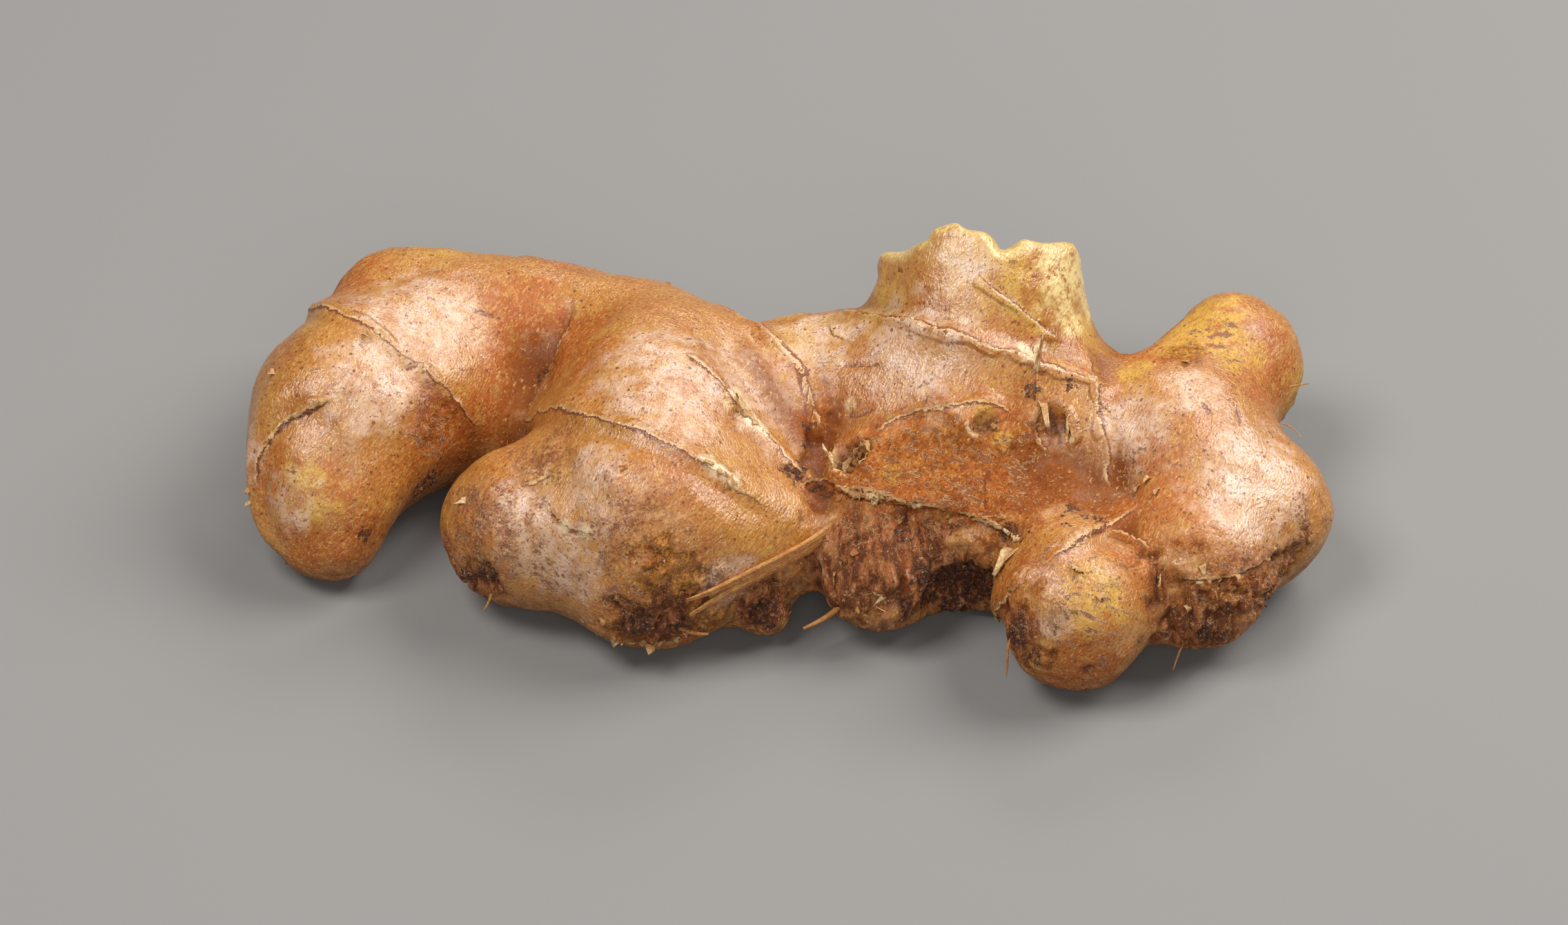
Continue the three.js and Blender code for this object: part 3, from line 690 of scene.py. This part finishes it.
tan = (0.5, 0.205, 0.034, 1)
warm_orange_and_painted_shade = (0.43, 0.11, 0.01, 1)
golden_yellow = (0.64, 0.35, 0.045, 1)
straw = (0.66, 0.375, 0.085, 1)
pale_film_and_painted_sheen = (0.78, 0.54, 0.4, 1)
rust = (0.3, 0.075, 0.01, 1)
speck_red = (0.19, 0.043, 0.007, 1)
red_line_and_painted_shadow = (0.23, 0.052, 0.009, 1)
painted_crease_shade_red = (0.21, 0.054, 0.007, 1)
scurf_brown = (0.3, 0.078, 0.014, 1)
paper_edge = (0.84, 0.61, 0.32, 1)
bark_brown = (0.12, 0.038, 0.02, 1)
bark_pale = (0.4, 0.13, 0.045, 1)
bark_edge = (0.64, 0.345, 0.2, 1)
pit_dark = (0.07, 0.022, 0.012, 1)
pit_brown = (0.4, 0.17, 0.045, 1)
earth = (0.045, 0.022, 0.019, 1)
pale_fleck_and_glint = (0.78, 0.46, 0.17, 1)
flake_pale = (0.76, 0.44, 0.21, 1)
torn_pale = (0.79, 0.51, 0.235, 1)
flesh_yellow = (0.85, 0.6, 0.2, 1)
flesh_dry = (0.55, 0.33, 0.11, 1)
cream_white = (0.9, 0.7, 0.3, 1)
paper_white = (0.84, 0.64, 0.38, 1)

skin_finish, tree, shader, place = start_finish("skin_finish")
across_the_lobes = (0.80, 0.10, -0.55)
fibre_place = drawn_along(place, along_the_lobes, 1.9)
bark_place = drawn_along(place, down_the_front, 3.2)
stroke_place = drawn_along(place, across_the_lobes, 2.6)
patches = noise_of(place, 0.13, 2)
blotches = noise_of(place, 0.45, 4, 0.6)
mottle = noise_of(place, 1.2, 6, 0.72)
fine = noise_of(place, 3.0, 2, 0.6)
grain = noise_of(fibre_place, 2.6, 2, 0.6)
fibres = noise_of(fibre_place, 2.8, 4, 0.65)
streaks = noise_of(bark_place, 1.0, 6, 0.66)
strokes = noise_of(stroke_place, 1.05, 5, 0.62)
uneven = add_up(mottle, -0.5)
barky = mask_of(tree, "barky")
crevice = mask_of(tree, "crevice")
fold = mask_of(tree, "fold")
pale_film_and_sheen = mask_of(tree, "pale_film_and_sheen")
scurfy = mask_of(tree, "scurfy")
tear_near = mask_of(tree, "tear_near")
warm_and_shaded = mask_of(tree, "warm_and_shaded")
warty = mask_of(tree, "warty")

# The broad patches, the warm ones partly painted shade and the pale ones partly painted sheen, the
# fibres, and painted shade in the hollows and folds.
# Warm orange: random patches of the skin's own tone, and in the warm zones partly painted shade.
warm_and_shade_share = add_up(times(warm_and_shaded, 0.8), ramp_of(patches, 0.4, 0.7, 0, 0.6), True)
skin_layers = [
    (warm_and_shade_share, warm_orange_and_painted_shade),
    (times(mask_of(tree, "golden"), ramp_of(blotches, 0.3, 0.5)), golden_yellow),
    # pale film, partly painted sheen
    (times(pale_film_and_sheen, ramp_of(blotches, 0.35, 0.6, 0.2, 0.9)), pale_film_and_painted_sheen),
    (times(flecks_of(place, 0.6, 0.3), 0.4), straw),
    (ramp_of(mottle, 0.52, 0.68, 0, 0.5), rust),
    (ramp_of(fibres, 0.46, 0.32, 0, 0.7), straw),
    (ramp_of(grain, 0.44, 0.34, 0, 0.35), pale_fleck_and_glint),
    (ramp_of(grain, 0.56, 0.68, 0, 0.35), rust),
    # painted shade in the hollows of the relief and in the folds between the lobes
    (add_up(times(crevice, 0.6), times(fold, 0.75), True), painted_crease_shade_red),
]
color = lay_over(tan, skin_layers)

# The scurf, the bark and the warts. The bark also lies on the faces turned down, darkening the
# underside: partly its own colour and partly painted shade.
scurf_share = times(scurfy, ramp_of(blotches, 0.35, 0.6, 0.3, 0.9))
wart_share = times(warty, ramp_of(mottle, 0.46, 0.54))
bark_layers = [
    (ramp_of(streaks, 0.55, 0.45), bark_pale),
    (ramp_of(streaks, 0.42, 0.36, 0, 0.9), bark_edge),
    (flecks_of(place, 2.4, 0.2), bark_edge),
]
rough_layers = [
    (times(scurf_share, ramp_of(mottle, 0.44, 0.56)), scurf_brown),
    (times(barky, 0.9), lay_over(bark_brown, bark_layers)),
    (times(wart_share, 0.7), bark_brown),
]
color = lay_over(color, rough_layers)

# The specks, the hairlines and the dots. The pale flecks are partly pale skin and partly painted
# glints, more of them on the sheen patches.
pale_and_glint_cover = add_up(times(pale_film_and_sheen, 0.12), 0.18)
red_cover = add_up(ramp_of(patches, 0.35, 0.62, 0.09, 0.24), times(crevice, 0.25))
scurf_cover = add_up(times(scurfy, 0.16), 0.14)
warp = add_node(tree, "TexNoise", {"Vector": place, "Scale": 0.9, "Detail": 3})["Color"]
bend = {0: warp, 1: (2.4, 2.4, 2.4), 2: place}
bent_place = add_node(tree, "VectorMath", bend, operation="MULTIPLY_ADD")[0]
hairline = ramp_of(cells_of(bent_place, 0.5, "DISTANCE_TO_EDGE"), 0.035, 0.008)
hairline_cover = ramp_of(add_up(blotches, times(scurfy, 0.12)), 0.52, 0.60, 0, 0.75)
rough_fine = add_up(fine, times(scurfy, 0.06))
ragged_dots = add_up(cells_of(place, 0.75, "F1"), times(uneven, 0.6))
speck_layers = [
    (times(flecks_of(fibre_place, 2.2, pale_and_glint_cover), 0.6), pale_fleck_and_glint),
    (times(flecks_of(place, 2.2, red_cover), 0.85), speck_red),
    (times(flecks_of(place, 1.8, scurf_cover), 0.75), speck_red),
    (times(hairline, hairline_cover), red_line_and_painted_shadow),
    (ramp_of(rough_fine, 0.62, 0.70, 0, 0.75), speck_red),
    (ramp_of(fine, 0.36, 0.30, 0, 0.35), pale_fleck_and_glint),
    (ramp_of(ragged_dots, 0.16, 0.10, 0, 0.8), speck_red),
]
color = lay_over(color, speck_layers)

# The flaking strokes, each a pale flake beside a sunk dark band that is partly painted shadow, the
# collars of the scars, and each tear's pale edge over a dark red line that is partly the scar's own
# colour and partly painted shadow of the edge.
stroke_cover = add_up(mask_of(tree, "crackled"), times(barky, 0.3), True)
stroke_height = add_up(strokes, ramp_of(stroke_cover, 0, 1, -0.14, 0.0))
rim_share = times(ramp_of(stroke_height, 0.54, 0.57), 0.7)
crack_and_flake_shadow_share = times(ramp_of(stroke_height, 0.58, 0.61), 0.85)
rough_noise = times(uneven, 0.9)
collar = add_up(mask_of(tree, "collar"), rough_noise)
tear_here = ramp_of(tear_near, 0.25, 0.5)
wiggle = add_up(rough_noise, times(add_up(fine, -0.5), 0.5))
tear_past = times(add_up(mask_of(tree, "tear_past"), -0.5), 2 * widest_past)
past = add_up(tear_past, wiggle)
line_width = times(tear_near, ramp_of(blotches, 0.35, 0.65, 0.4, 0.95))
line_end = ramp_of(past, line_width, times(line_width, 0.5))
line_and_shadow_below_edge = times(ramp_of(past, -0.03, 0.04), line_end)
on_edge = times(ramp_of(past, -0.45, -0.12), ramp_of(past, 0.02, -0.04))
edge_cover = times(tear_here, ramp_of(blotches, 0.4, 0.6, 0.35, 0.85))
torn_layers = [
    (rim_share, flake_pale),
    (crack_and_flake_shadow_share, red_line_and_painted_shadow),
    (ramp_of(collar, 0.4, 0.7, 0, 0.75), paper_edge),
    # dark red line below the edge: partly the scar's own colour and partly painted shadow
    (times(times(line_and_shadow_below_edge, tear_here), 0.92), red_line_and_painted_shadow),
    (times(on_edge, edge_cover), torn_pale),
]
color = lay_over(color, torn_layers)

# The pits of the scars, the papery and creamy patches, the bare flesh and the earth.
pit_color = lay_over(pit_dark, [(ramp_of(mottle, 0.46, 0.54), pit_brown)])
flesh_color = lay_over(flesh_yellow, [(ramp_of(fibres, 0.40, 0.62), flesh_dry)])
earth_share = flecks_of(place, 1.9, times(mask_of(tree, "earthy"), 0.55))
bare_layers = [
    (mask_of(tree, "scar"), pit_color),
    (times(mask_of(tree, "papery"), ramp_of(mottle, 0.68, 0.50, 0, 0.9)), paper_white),
    (times(mask_of(tree, "creamy"), ramp_of(mottle, 0.65, 0.45)), cream_white),
    (mask_of(tree, "flesh"), flesh_color),
    (times(earth_share, 0.75), earth),
]
tree.links.new(lay_over(color, bare_layers), shader.inputs["Base Color"])

# The gloss, which is less on the rough, scurfy and earthy parts and in the folds.
gloss = ramp_of(fibres, 0.35, 0.65, 0.26, 0.40)
rough_parts = add_up(add_up(earth_share, barky), warty, True)
worn_parts = add_up(times(scurfy, 0.5), times(add_up(warm_and_shaded, fold), 0.6))
dull = add_up(rough_parts, worn_parts, True)
tree.links.new(add_up(gloss, times(dull, 0.35), True), shader.inputs["Roughness"])
tree.links.new(add_up(times(dull, -0.8), 1.0), shader.inputs["Specular IOR Level"])

# The fine relief: dents, pores, rough parts, streaks of bark, strokes and the step at each tear.
roughened = add_up(add_up(scurfy, barky), warty, True)
heights = [
    (noise_of(place, 1.6, 2, 0.5), 0.4),
    (noise_of(fibre_place, 3.8, 2, 0.5), 0.7),
    (times(mottle, roughened), 1.8),
    (times(streaks, barky), -2.4),
    (rim_share, 0.7),
    (crack_and_flake_shadow_share, -1.2),
    (times(ramp_of(past, 0.05, -0.05), tear_here), 1.5),
]
height = 0
for part, factor in heights:
    height = add_up(times(part, factor), height)
add_bump(shader, height, 0.17)
shader.inputs["Subsurface Weight"].default_value = 0.1
shader.inputs["Subsurface Radius"].default_value = (1.0, 0.32, 0.1)
shader.inputs["Subsurface Scale"].default_value = 0.0016
skin.data.materials.append(skin_finish)
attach(skin, "root")
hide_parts("rhizome")


# The torn sheaths: the papery brown rims that the dead sheath leaves left along the rings, the tears
# and the root scars, and shreds of old skin that have come off on one side. Each is a thin sheet that
# starts in the skin and stands off it, ragged and curled, and all of them are grown on the skin.
skin_tree = tree_of(skin)


# The places on the skin that are nearest to some places, and the way the skin faces there.
def onto_skin(places):
    found = [skin_tree.find_nearest(Vector(p))[:2] for p in places]
    return tuple(np.array(part) for part in zip(*found))


# A thin sheet whose points are given row by row.
def add_sheet(name, rows, thickness):
    rows = np.asarray(rows)
    row_count, row_length = rows.shape[:2]
    bpy.ops.mesh.primitive_grid_add(x_subdivisions=row_length - 1, y_subdivisions=row_count - 1)
    sheet = bpy.context.object
    sheet.name = name
    move_points(sheet, rows.reshape(-1, 3))
    apply_modifier(sheet, "SOLIDIFY", thickness=thickness, offset=0)
    return sheet


fringe_step = 0.3
paper_thickness = 0.09 * MM


# A ragged fringe along a line on the skin, standing off it on its lower side.
def add_fringe(line, down, width, wholeness, seed):
    base, normals = onto_skin(line)
    along_it = np.gradient(base, axis=0)
    along_it /= np.maximum(np.linalg.norm(along_it, axis=1, keepdims=True), 1e-6)
    aside = np.cross(normals, along_it)
    aside *= np.sign((aside * down).sum(axis=1, keepdims=True) + 1e-9)
    uneven = field(base, 1.1, seed, 2)
    spikes = np.clip(field(base, 0.55, seed + 1), 0, 1) ** 2
    whole = np.clip(2.6 * broken_at(base) - 1.4 + wholeness, 0, 1)
    ends = np.minimum(np.arange(len(base)), np.arange(len(base))[::-1]) * fringe_step
    wide = width * np.clip(0.3 + 0.8 * uneven + 3.0 * spikes, 0.05, 1.8) * whole
    wide *= smooth_step(0, 1.5, ends)
    lift = np.clip(0.15 + 0.6 * field(base, 2.3, seed + 2), 0.02, 0.8)
    there = smooth_step(0.05, 0.3, wide)[:, None]
    wide, lift = wide[:, None], lift[:, None]
    rows = [
        base - (0.1 + 0.25 * there) * aside - 0.2 * normals,
        base + (0.2 * there - 0.16) * normals,
        base + 0.55 * wide * aside + (0.2 * there - 0.15 + 0.3 * wide * lift) * normals,
        base + wide * aside + (0.2 * there - 0.18 + 0.8 * wide * lift) * normals,
    ]
    return add_sheet("fringe", rows, paper_thickness)


# The line where a ring's plane meets the skin, found by looking inwards from all round.
def ring_line(middle, facing, reach):
    middle = Vector(middle)
    facing = Vector(facing).normalized()
    sideways = facing.orthogonal().normalized()
    turns = int(2 * math.pi * 0.7 * reach / fringe_step)
    found = []
    for turn in range(turns + 1):
        outward = Matrix.Rotation(2 * math.pi * turn / turns, 3, facing) @ sideways
        start = middle + outward * reach
        hit = skin_tree.ray_cast(start, -outward, reach)[0]
        if hit:
            shift = wander_at([hit])[0]
            hit = skin_tree.ray_cast(start - facing * shift, -outward, reach)[0] or hit
        found.append(hit)
    return found


# The stretches of a ring's line that run on without a leap and have enough places.
def stretches(found, longest_leap=1.5, fewest=9):
    runs, run = [], []
    for hit in found:
        if hit is None or (run and (hit - run[-1]).length > longest_leap):
            runs.append(run)
            run = []
        if hit is not None:
            run.append(hit)
    runs.append(run)
    return [run for run in runs if len(run) >= fewest]


def join(name, pieces):
    select_only(pieces[0])
    for piece in pieces:
        piece.select_set(True)
    bpy.ops.object.join()
    joined = bpy.context.object
    joined.name = name
    bpy.ops.object.shade_smooth()
    return joined


# Shreds of the old skin that have come off on one side: the middle of the root of each, the way it
# points along the skin, its width and length, and how high its tip stands.
SHREDS = [
    ((5.4, -7.3, 16.4), (-1, -0.1, -0.5), 2.6, 2.6, 0.7),
    ((9.2, -6.4, 18.7), (0.3, 0.6, 0.6), 1.4, 1.3, 0.8),
    ((25.6, -17, 13.9), (-0.3, -0.75, -0.6), 2.8, 3.6, 0.4),
    ((41.8, -21.9, 13.6), (1, -0.5, 0), 1, 1.4, 0.8),
    ((32.6, -24.2, 17.2), (-0.6, -0.5, -0.3), 1.6, 1.1, 0.25),
    ((34.8, -26.8, 15.8), (0.4, -0.6, -0.6), 1.3, 1, 0.25),
    ((39.5, -10.5, 17.1), (0.3, -0.7, -0.5), 0.9, 1.1, 0.3),
    ((41, -10.2, 18.2), (-0.5, -0.6, -0.4), 0.8, 0.9, 0.4),
    ((41.7, -12.3, 18.2), (0.1, -0.8, -0.5), 0.9, 1, 0.3),
    ((46.5, -21.8, 15.3), (0.3, -0.5, -0.8), 0.9, 1.3, 0.2),
    ((50.4, -21.7, 13.8), (0, -0.5, -0.8), 0.8, 0.9, 0.2),
    ((45.3, -24.2, 10.8), (0, -0.4, -0.9), 1, 1.1, 0.3),
    ((45.4, 5.2, 22.2), (0.2, -0.8, 0), 1, 1.1, 0.5),
    ((-58.7, 5.2, 20.6), (-1, -0.2, 0), 1.1, 0.8, 0.4),
    ((-61, -3.6, 10.4), (-0.8, -0.4, -0.4), 0.7, 0.8, 0.4),
    ((-61.2, -4.6, 9.2), (-0.8, -0.2, -0.6), 0.6, 0.7, 0.4),
    ((-36.3, -11.5, 15.9), (-1, 0, -0.3), 0.9, 1.1, 0.35),
    ((7.1, 1, 20), (0.2, -0.8, -0.5), 0.6, 1.5, 0.15),
    ((-48.3, 8, 24), (0.5, -0.6, -0.2), 0.8, 1.4, 0.5),
    ((29, -1, 21.4), (0.1, -0.8, -0.6), 1.1, 2.6, 0.5),
    ((31.6, -2.6, 20.4), (-0.3, -0.8, -0.6), 1, 2.2, 0.5),
    ((28, 0.9, 23.7), (0.05, 0.8, 0.5), 0.7, 4, 0.6),
]


def add_shred(at, toward, width, length, lift):
    foot, normal = (found[0] for found in onto_skin([at]))
    toward = np.array(toward, float)
    toward -= (toward @ normal) * normal
    toward /= np.linalg.norm(toward)
    aside = np.cross(normal, toward) * width / 2
    sides = np.linspace(-1, 1, 8)[:, None]
    torn = field(foot + sides * aside, 0.7, 90, 2)[:, None]
    reach = length * np.clip(1 - 0.5 * np.abs(sides) ** 1.5 + 1.1 * torn, 0.25, 1.2)
    rows = []
    for share in np.linspace(0, 1, 6):
        curl = lift * share**1.6 * (1 + torn) + 0.1 - 0.4 * (share == 0) + 0.1 * width * sides**2 * share
        rows.append(foot + share * reach * toward + (1 - 0.35 * share) * sides * aside + curl * normal)
    return add_sheet("shred", rows, paper_thickness)


fringes = [add_shred(*shred) for shred in SHREDS]
for count, (middle, facing, reach, _, width) in enumerate(RINGS.values()):
    for run in stretches(ring_line(middle, facing, reach)):
        fringes.append(add_fringe(run, np.array(facing), width, 0.1, 20 + 3 * count))
for count, (line, down, _, width) in enumerate(TORN_LINES.values()):
    fringes.append(add_fringe(paced(line, fringe_step), np.array(down), width, 0.7, 60 + 3 * count))
rimmed = [scar for scar in SCARS if scar[-1]]
for count, (middle, radius, _, _, rim) in enumerate(rimmed):
    middle, normal = (found[0] for found in onto_skin([middle]))
    start = 0.85 * radius * np.array(Vector(normal).orthogonal().normalized())
    turns = [Matrix.Rotation(math.radians(angle), 3, normal) for angle in range(0, 361, 10)]
    circle = [middle + 0.5 * normal + np.array(turn @ Vector(start)) for turn in turns]
    fringes.append(add_fringe(paced(circle, fringe_step), normal, rim, 0.6, 150 + 3 * count))
sheaths = join("torn_sheaths", fringes)

# Dry paper, which the sheaths, the scurf and the dried roots are like: blotched in two tones, darker
# where it is worn. It is built once and placed in each of their finishes.
dry_paper, paper_in, paper_out = add_group(
    "dry_paper",
    {"Vector": "Vector", "Tone": "Color", "Blotch": "Color", "Worn": "Color"},
    {"Color": "Color", "Height": "Float"},
)
paper_blotches = noise_of(paper_in["Vector"], 0.9, 4, 0.6)
paper_mottle = noise_of(paper_in["Vector"], 3.0, 5, 0.7)
paper_layers = [
    (ramp_of(paper_blotches, 0.40, 0.60), paper_in["Blotch"]),
    (ramp_of(paper_mottle, 0.52, 0.66, 0, 0.8), paper_in["Worn"]),
]
dry_paper.links.new(lay_over(paper_in["Tone"], paper_layers), paper_out["Color"])
dry_paper.links.new(paper_mottle, paper_out["Height"])


def add_paper_finish(name, tone, blotch, worn):
    finish, tree, shader, place = start_finish(name)
    inputs = {"Vector": place, "Tone": tone, "Blotch": blotch, "Worn": worn}
    paper = add_node(tree, "Group", inputs, node_tree=dry_paper)
    tree.links.new(paper["Color"], shader.inputs["Base Color"])
    add_bump(shader, paper["Height"], 0.2)
    shader.inputs["Roughness"].default_value = 0.5
    return finish


sheath_brown = (0.6, 0.32, 0.11, 1)
sheaths.data.materials.append(add_paper_finish("sheath_finish", paper_edge, sheath_brown, rust))
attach(sheaths, "root")


# The scurf: small dry flakes of dead skin, curled at their edges and stuck to the rough parts of the
# skin by one side. One flake is shaped from a small grid and copied.
flake_thickness = 0.10 * MM
scurf_pale = (0.62, 0.33, 0.1, 1)
scurf_dark = (0.38, 0.13, 0.03, 1)


def shape_flake():
    across, up = np.meshgrid(np.linspace(-0.5, 0.5, 4), np.linspace(0, 1, 4))
    narrow = 1 - 0.55 * up**1.5
    rows = np.stack([across * narrow, up, 0.3 * up**2 + 0.3 * (across * narrow) ** 2], axis=2)
    return add_sheet("flake", rows, flake_thickness)


# Copies of a shape stood on the skin at random places, more of them where the weight is greater.
def scatter(shape, count, weights, sizes, tilts, draw):
    chosen = draw.choice(len(skin_points), count, p=weights / weights.sum())
    copies = []
    for spot in chosen:
        normal = Vector(skin_outwards[spot])
        upright = normal.to_track_quat("Z", "Y").to_matrix().to_4x4()
        spin = Matrix.Rotation(draw.uniform(0, 2 * math.pi), 4, "Z")
        tilt = Matrix.Rotation(draw.uniform(*tilts), 4, "X")
        width, length = draw.uniform(0.7, 1.3, 2) * draw.uniform(*sizes)
        stretch = Matrix.Diagonal((width, length, draw.uniform(*sizes), 1))
        copy = bpy.data.objects.new(shape.name, shape.data.copy())
        bpy.context.scene.collection.objects.link(copy)
        at = Vector(skin_points[spot]) * MM - normal * 0.05 * MM
        copy.data.transform(Matrix.Translation(at) @ upright @ spin @ tilt @ stretch)
        copies.append(copy)
    return copies


skin_points = points_of(skin)
skin_outwards = outwards_of(skin)
off_the_floor = smooth_step(0.6, 1.5, skin_points[:, 2])
draw = np.random.default_rng(7)
flake = shape_flake()
flaky = masks["scurfy"] + masks["warty"] * 1.5 + masks["barky"] * 0.5 + masks["torn_edge"] * 2 + 0.03
flaky *= off_the_floor * (0.3 + np.clip(ragged, 0, 1))
flakes = scatter(flake, 900, flaky, (0.15, 0.45), (-0.15, 0.25), draw)
flakes += scatter(flake, 40, flaky, (0.45, 0.9), (-0.1, 0.25), draw)
flakes += scatter(flake, 110, masks["flaky"] ** 2 * off_the_floor, (0.3, 0.9), (-0.15, 0.35), draw)
bpy.data.objects.remove(flake)
scurf = join("scurf", flakes)
scurf.data.materials.append(add_paper_finish("scurf_finish", scurf_pale, scurf_dark, scurf_brown))
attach(scurf, "root")


# The soil: dark crumbs of dried earth caught in the folds and hollows and on the rough underside.
# One crumb is a lumpy little ball, and it is copied.
soil_dark = (0.06, 0.032, 0.026, 1)
soil_brown = (0.21, 0.115, 0.075, 1)
soil_pale = (0.5, 0.38, 0.3, 1)

bpy.ops.mesh.primitive_ico_sphere_add(subdivisions=1, radius=0.5 * MM)
crumb = bpy.context.object
crumb.name = "crumb"
crumb_points = points_of(crumb)
move_points(crumb, crumb_points * (1 + 0.5 * field(crumb_points, 0.5, 5))[:, None])
soiled = masks["earthy"] ** 2 * off_the_floor
crumbs = scatter(crumb, 900, soiled + 1e-6, (0.15, 0.45), (0, 3), draw)
bpy.data.objects.remove(crumb)
soil = join("soil", crumbs)
soil_finish, tree, shader, place = start_finish("soil_finish")
crumb_tone = noise_of(place, 1.6, 2, 0.5)
soil_layers = [
    (ramp_of(crumb_tone, 0.42, 0.60), soil_brown),
    (ramp_of(crumb_tone, 0.66, 0.70), soil_pale),
]
tree.links.new(lay_over(soil_dark, soil_layers), shader.inputs["Base Color"])
add_bump(shader, noise_of(place, 6, 3), 0.15)
shader.inputs["Roughness"].default_value = 0.85
soil.data.materials.append(soil_finish)
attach(soil, "root")


# The dry root: an old feeding root, dried to a flat bundle of straw-like fibres. It comes out of the
# front stump, crosses the gap to the broad lobe and is split at its end.
def add_strand(name, places, radii):
    line = bpy.data.curves.new(name, "CURVE")
    line.dimensions = "3D"
    line.bevel_depth = MM
    line.bevel_resolution = 2
    line.use_fill_caps = True
    line.resolution_u = 6
    spline = line.splines.new("NURBS")
    spline.points.add(len(places) - 1)
    spline.use_endpoint_u = True
    spline.order_u = 4
    for point, place, radius in zip(spline.points, places, radii):
        point.co = (*(np.array(place) * MM), 1)
        point.radius = radius
    strand = bpy.data.objects.new(name, line)
    bpy.context.scene.collection.objects.link(strand)
    select_only(strand)
    bpy.ops.object.convert(target="MESH")
    return bpy.context.object


ROOT_LINE = [(5.2, -13.2, 12.9), (3.0, -15.9, 12.9), (-1.5, -19.2, 12.8), (-6.2, -21.4, 11.8)]
LOWER_TIP = (-10.9, -23.7, 9.4)
UPPER_TIP = (-11.2, -23.9, 11.9)
strand_spacing = 0.32
strand_radii = [0.30, 0.30, 0.28, 0.30, 0.24, 0.06]
dry_straw = (0.62, 0.3, 0.08, 1)
dry_straw_brown = (0.5, 0.19, 0.045, 1)

strands = []
for count in range(6):
    offset = (count - 2.5) * strand_spacing
    branch_tip, branch_offset = (UPPER_TIP, 0.48) if count > 2 else (LOWER_TIP, -0.48)
    tip = np.array(branch_tip) + (0, 0, 0.5 * (offset - branch_offset))
    fork = (np.array(ROOT_LINE[-1]) + tip) / 2 + (0, -0.2, 0.3 * offset)
    places = [np.array(p) + (0, draw.uniform(-0.12, 0.12), offset) for p in ROOT_LINE] + [fork, tip]
    strands.append(add_strand("strand", places, strand_radii))
dry_root = join("dry_root", strands)
straw_finish = add_paper_finish("straw_finish", dry_straw, dry_straw_brown, rust)
dry_root.data.materials.append(straw_finish)
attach(dry_root, "root")


# The hair roots: stiff dry hairs left on the underside, at the front stump, the bud and the lobes,
# each grown out of the skin. Each hair is a line of places and a radius.
HAIRS = [
    ([(25.6, -27.2, 9.6), (24.2, -27.7, 8.9), (25, -28, 6.8), (24.6, -28.5, 4.6)], 0.22),
    ([(6.4, -17.6, 5.6), (5.1, -19.5, 5.3), (3.3, -20.5, 5.2), (1.9, -21.2, 5.0)], 0.42),
    ([(57.6, 4.2, 19), (58.7, 4, 19.5), (59.8, 4, 19.7)], 0.16),
    ([(-12.2, -22.6, 6.6), (-10.4, -23, 5.6), (-8.8, -22.8, 5.7)], 0.35),
    ([(-33.4, -16.4, 6.2), (-33.8, -17.3, 5), (-34.4, -17.6, 4.4)], 0.2),
    ([(56.6, 0.6, 16.6), (57.6, -0.6, 17.4), (58.6, -2, 16.8)], 0.1),
    ([(45, -22.6, 5), (44, -24.4, 3.6), (43.6, -25, 2.2)], 0.18),
    ([(-20, 24, 9), (-19.4, 27, 7.5), (-20, 28.2, 5.6)], 0.2),
    ([(30, 19, 9), (31, 21.6, 7.6), (30.4, 23, 5.4)], 0.18),
]
hairs = []
for line, radius in HAIRS:
    hairs.append(add_strand("hair", line, np.linspace(radius, 0.4 * radius, len(line))))
hair_roots = join("hair_roots", hairs)
hair_roots.data.materials.append(straw_finish)
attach(hair_roots, "root")
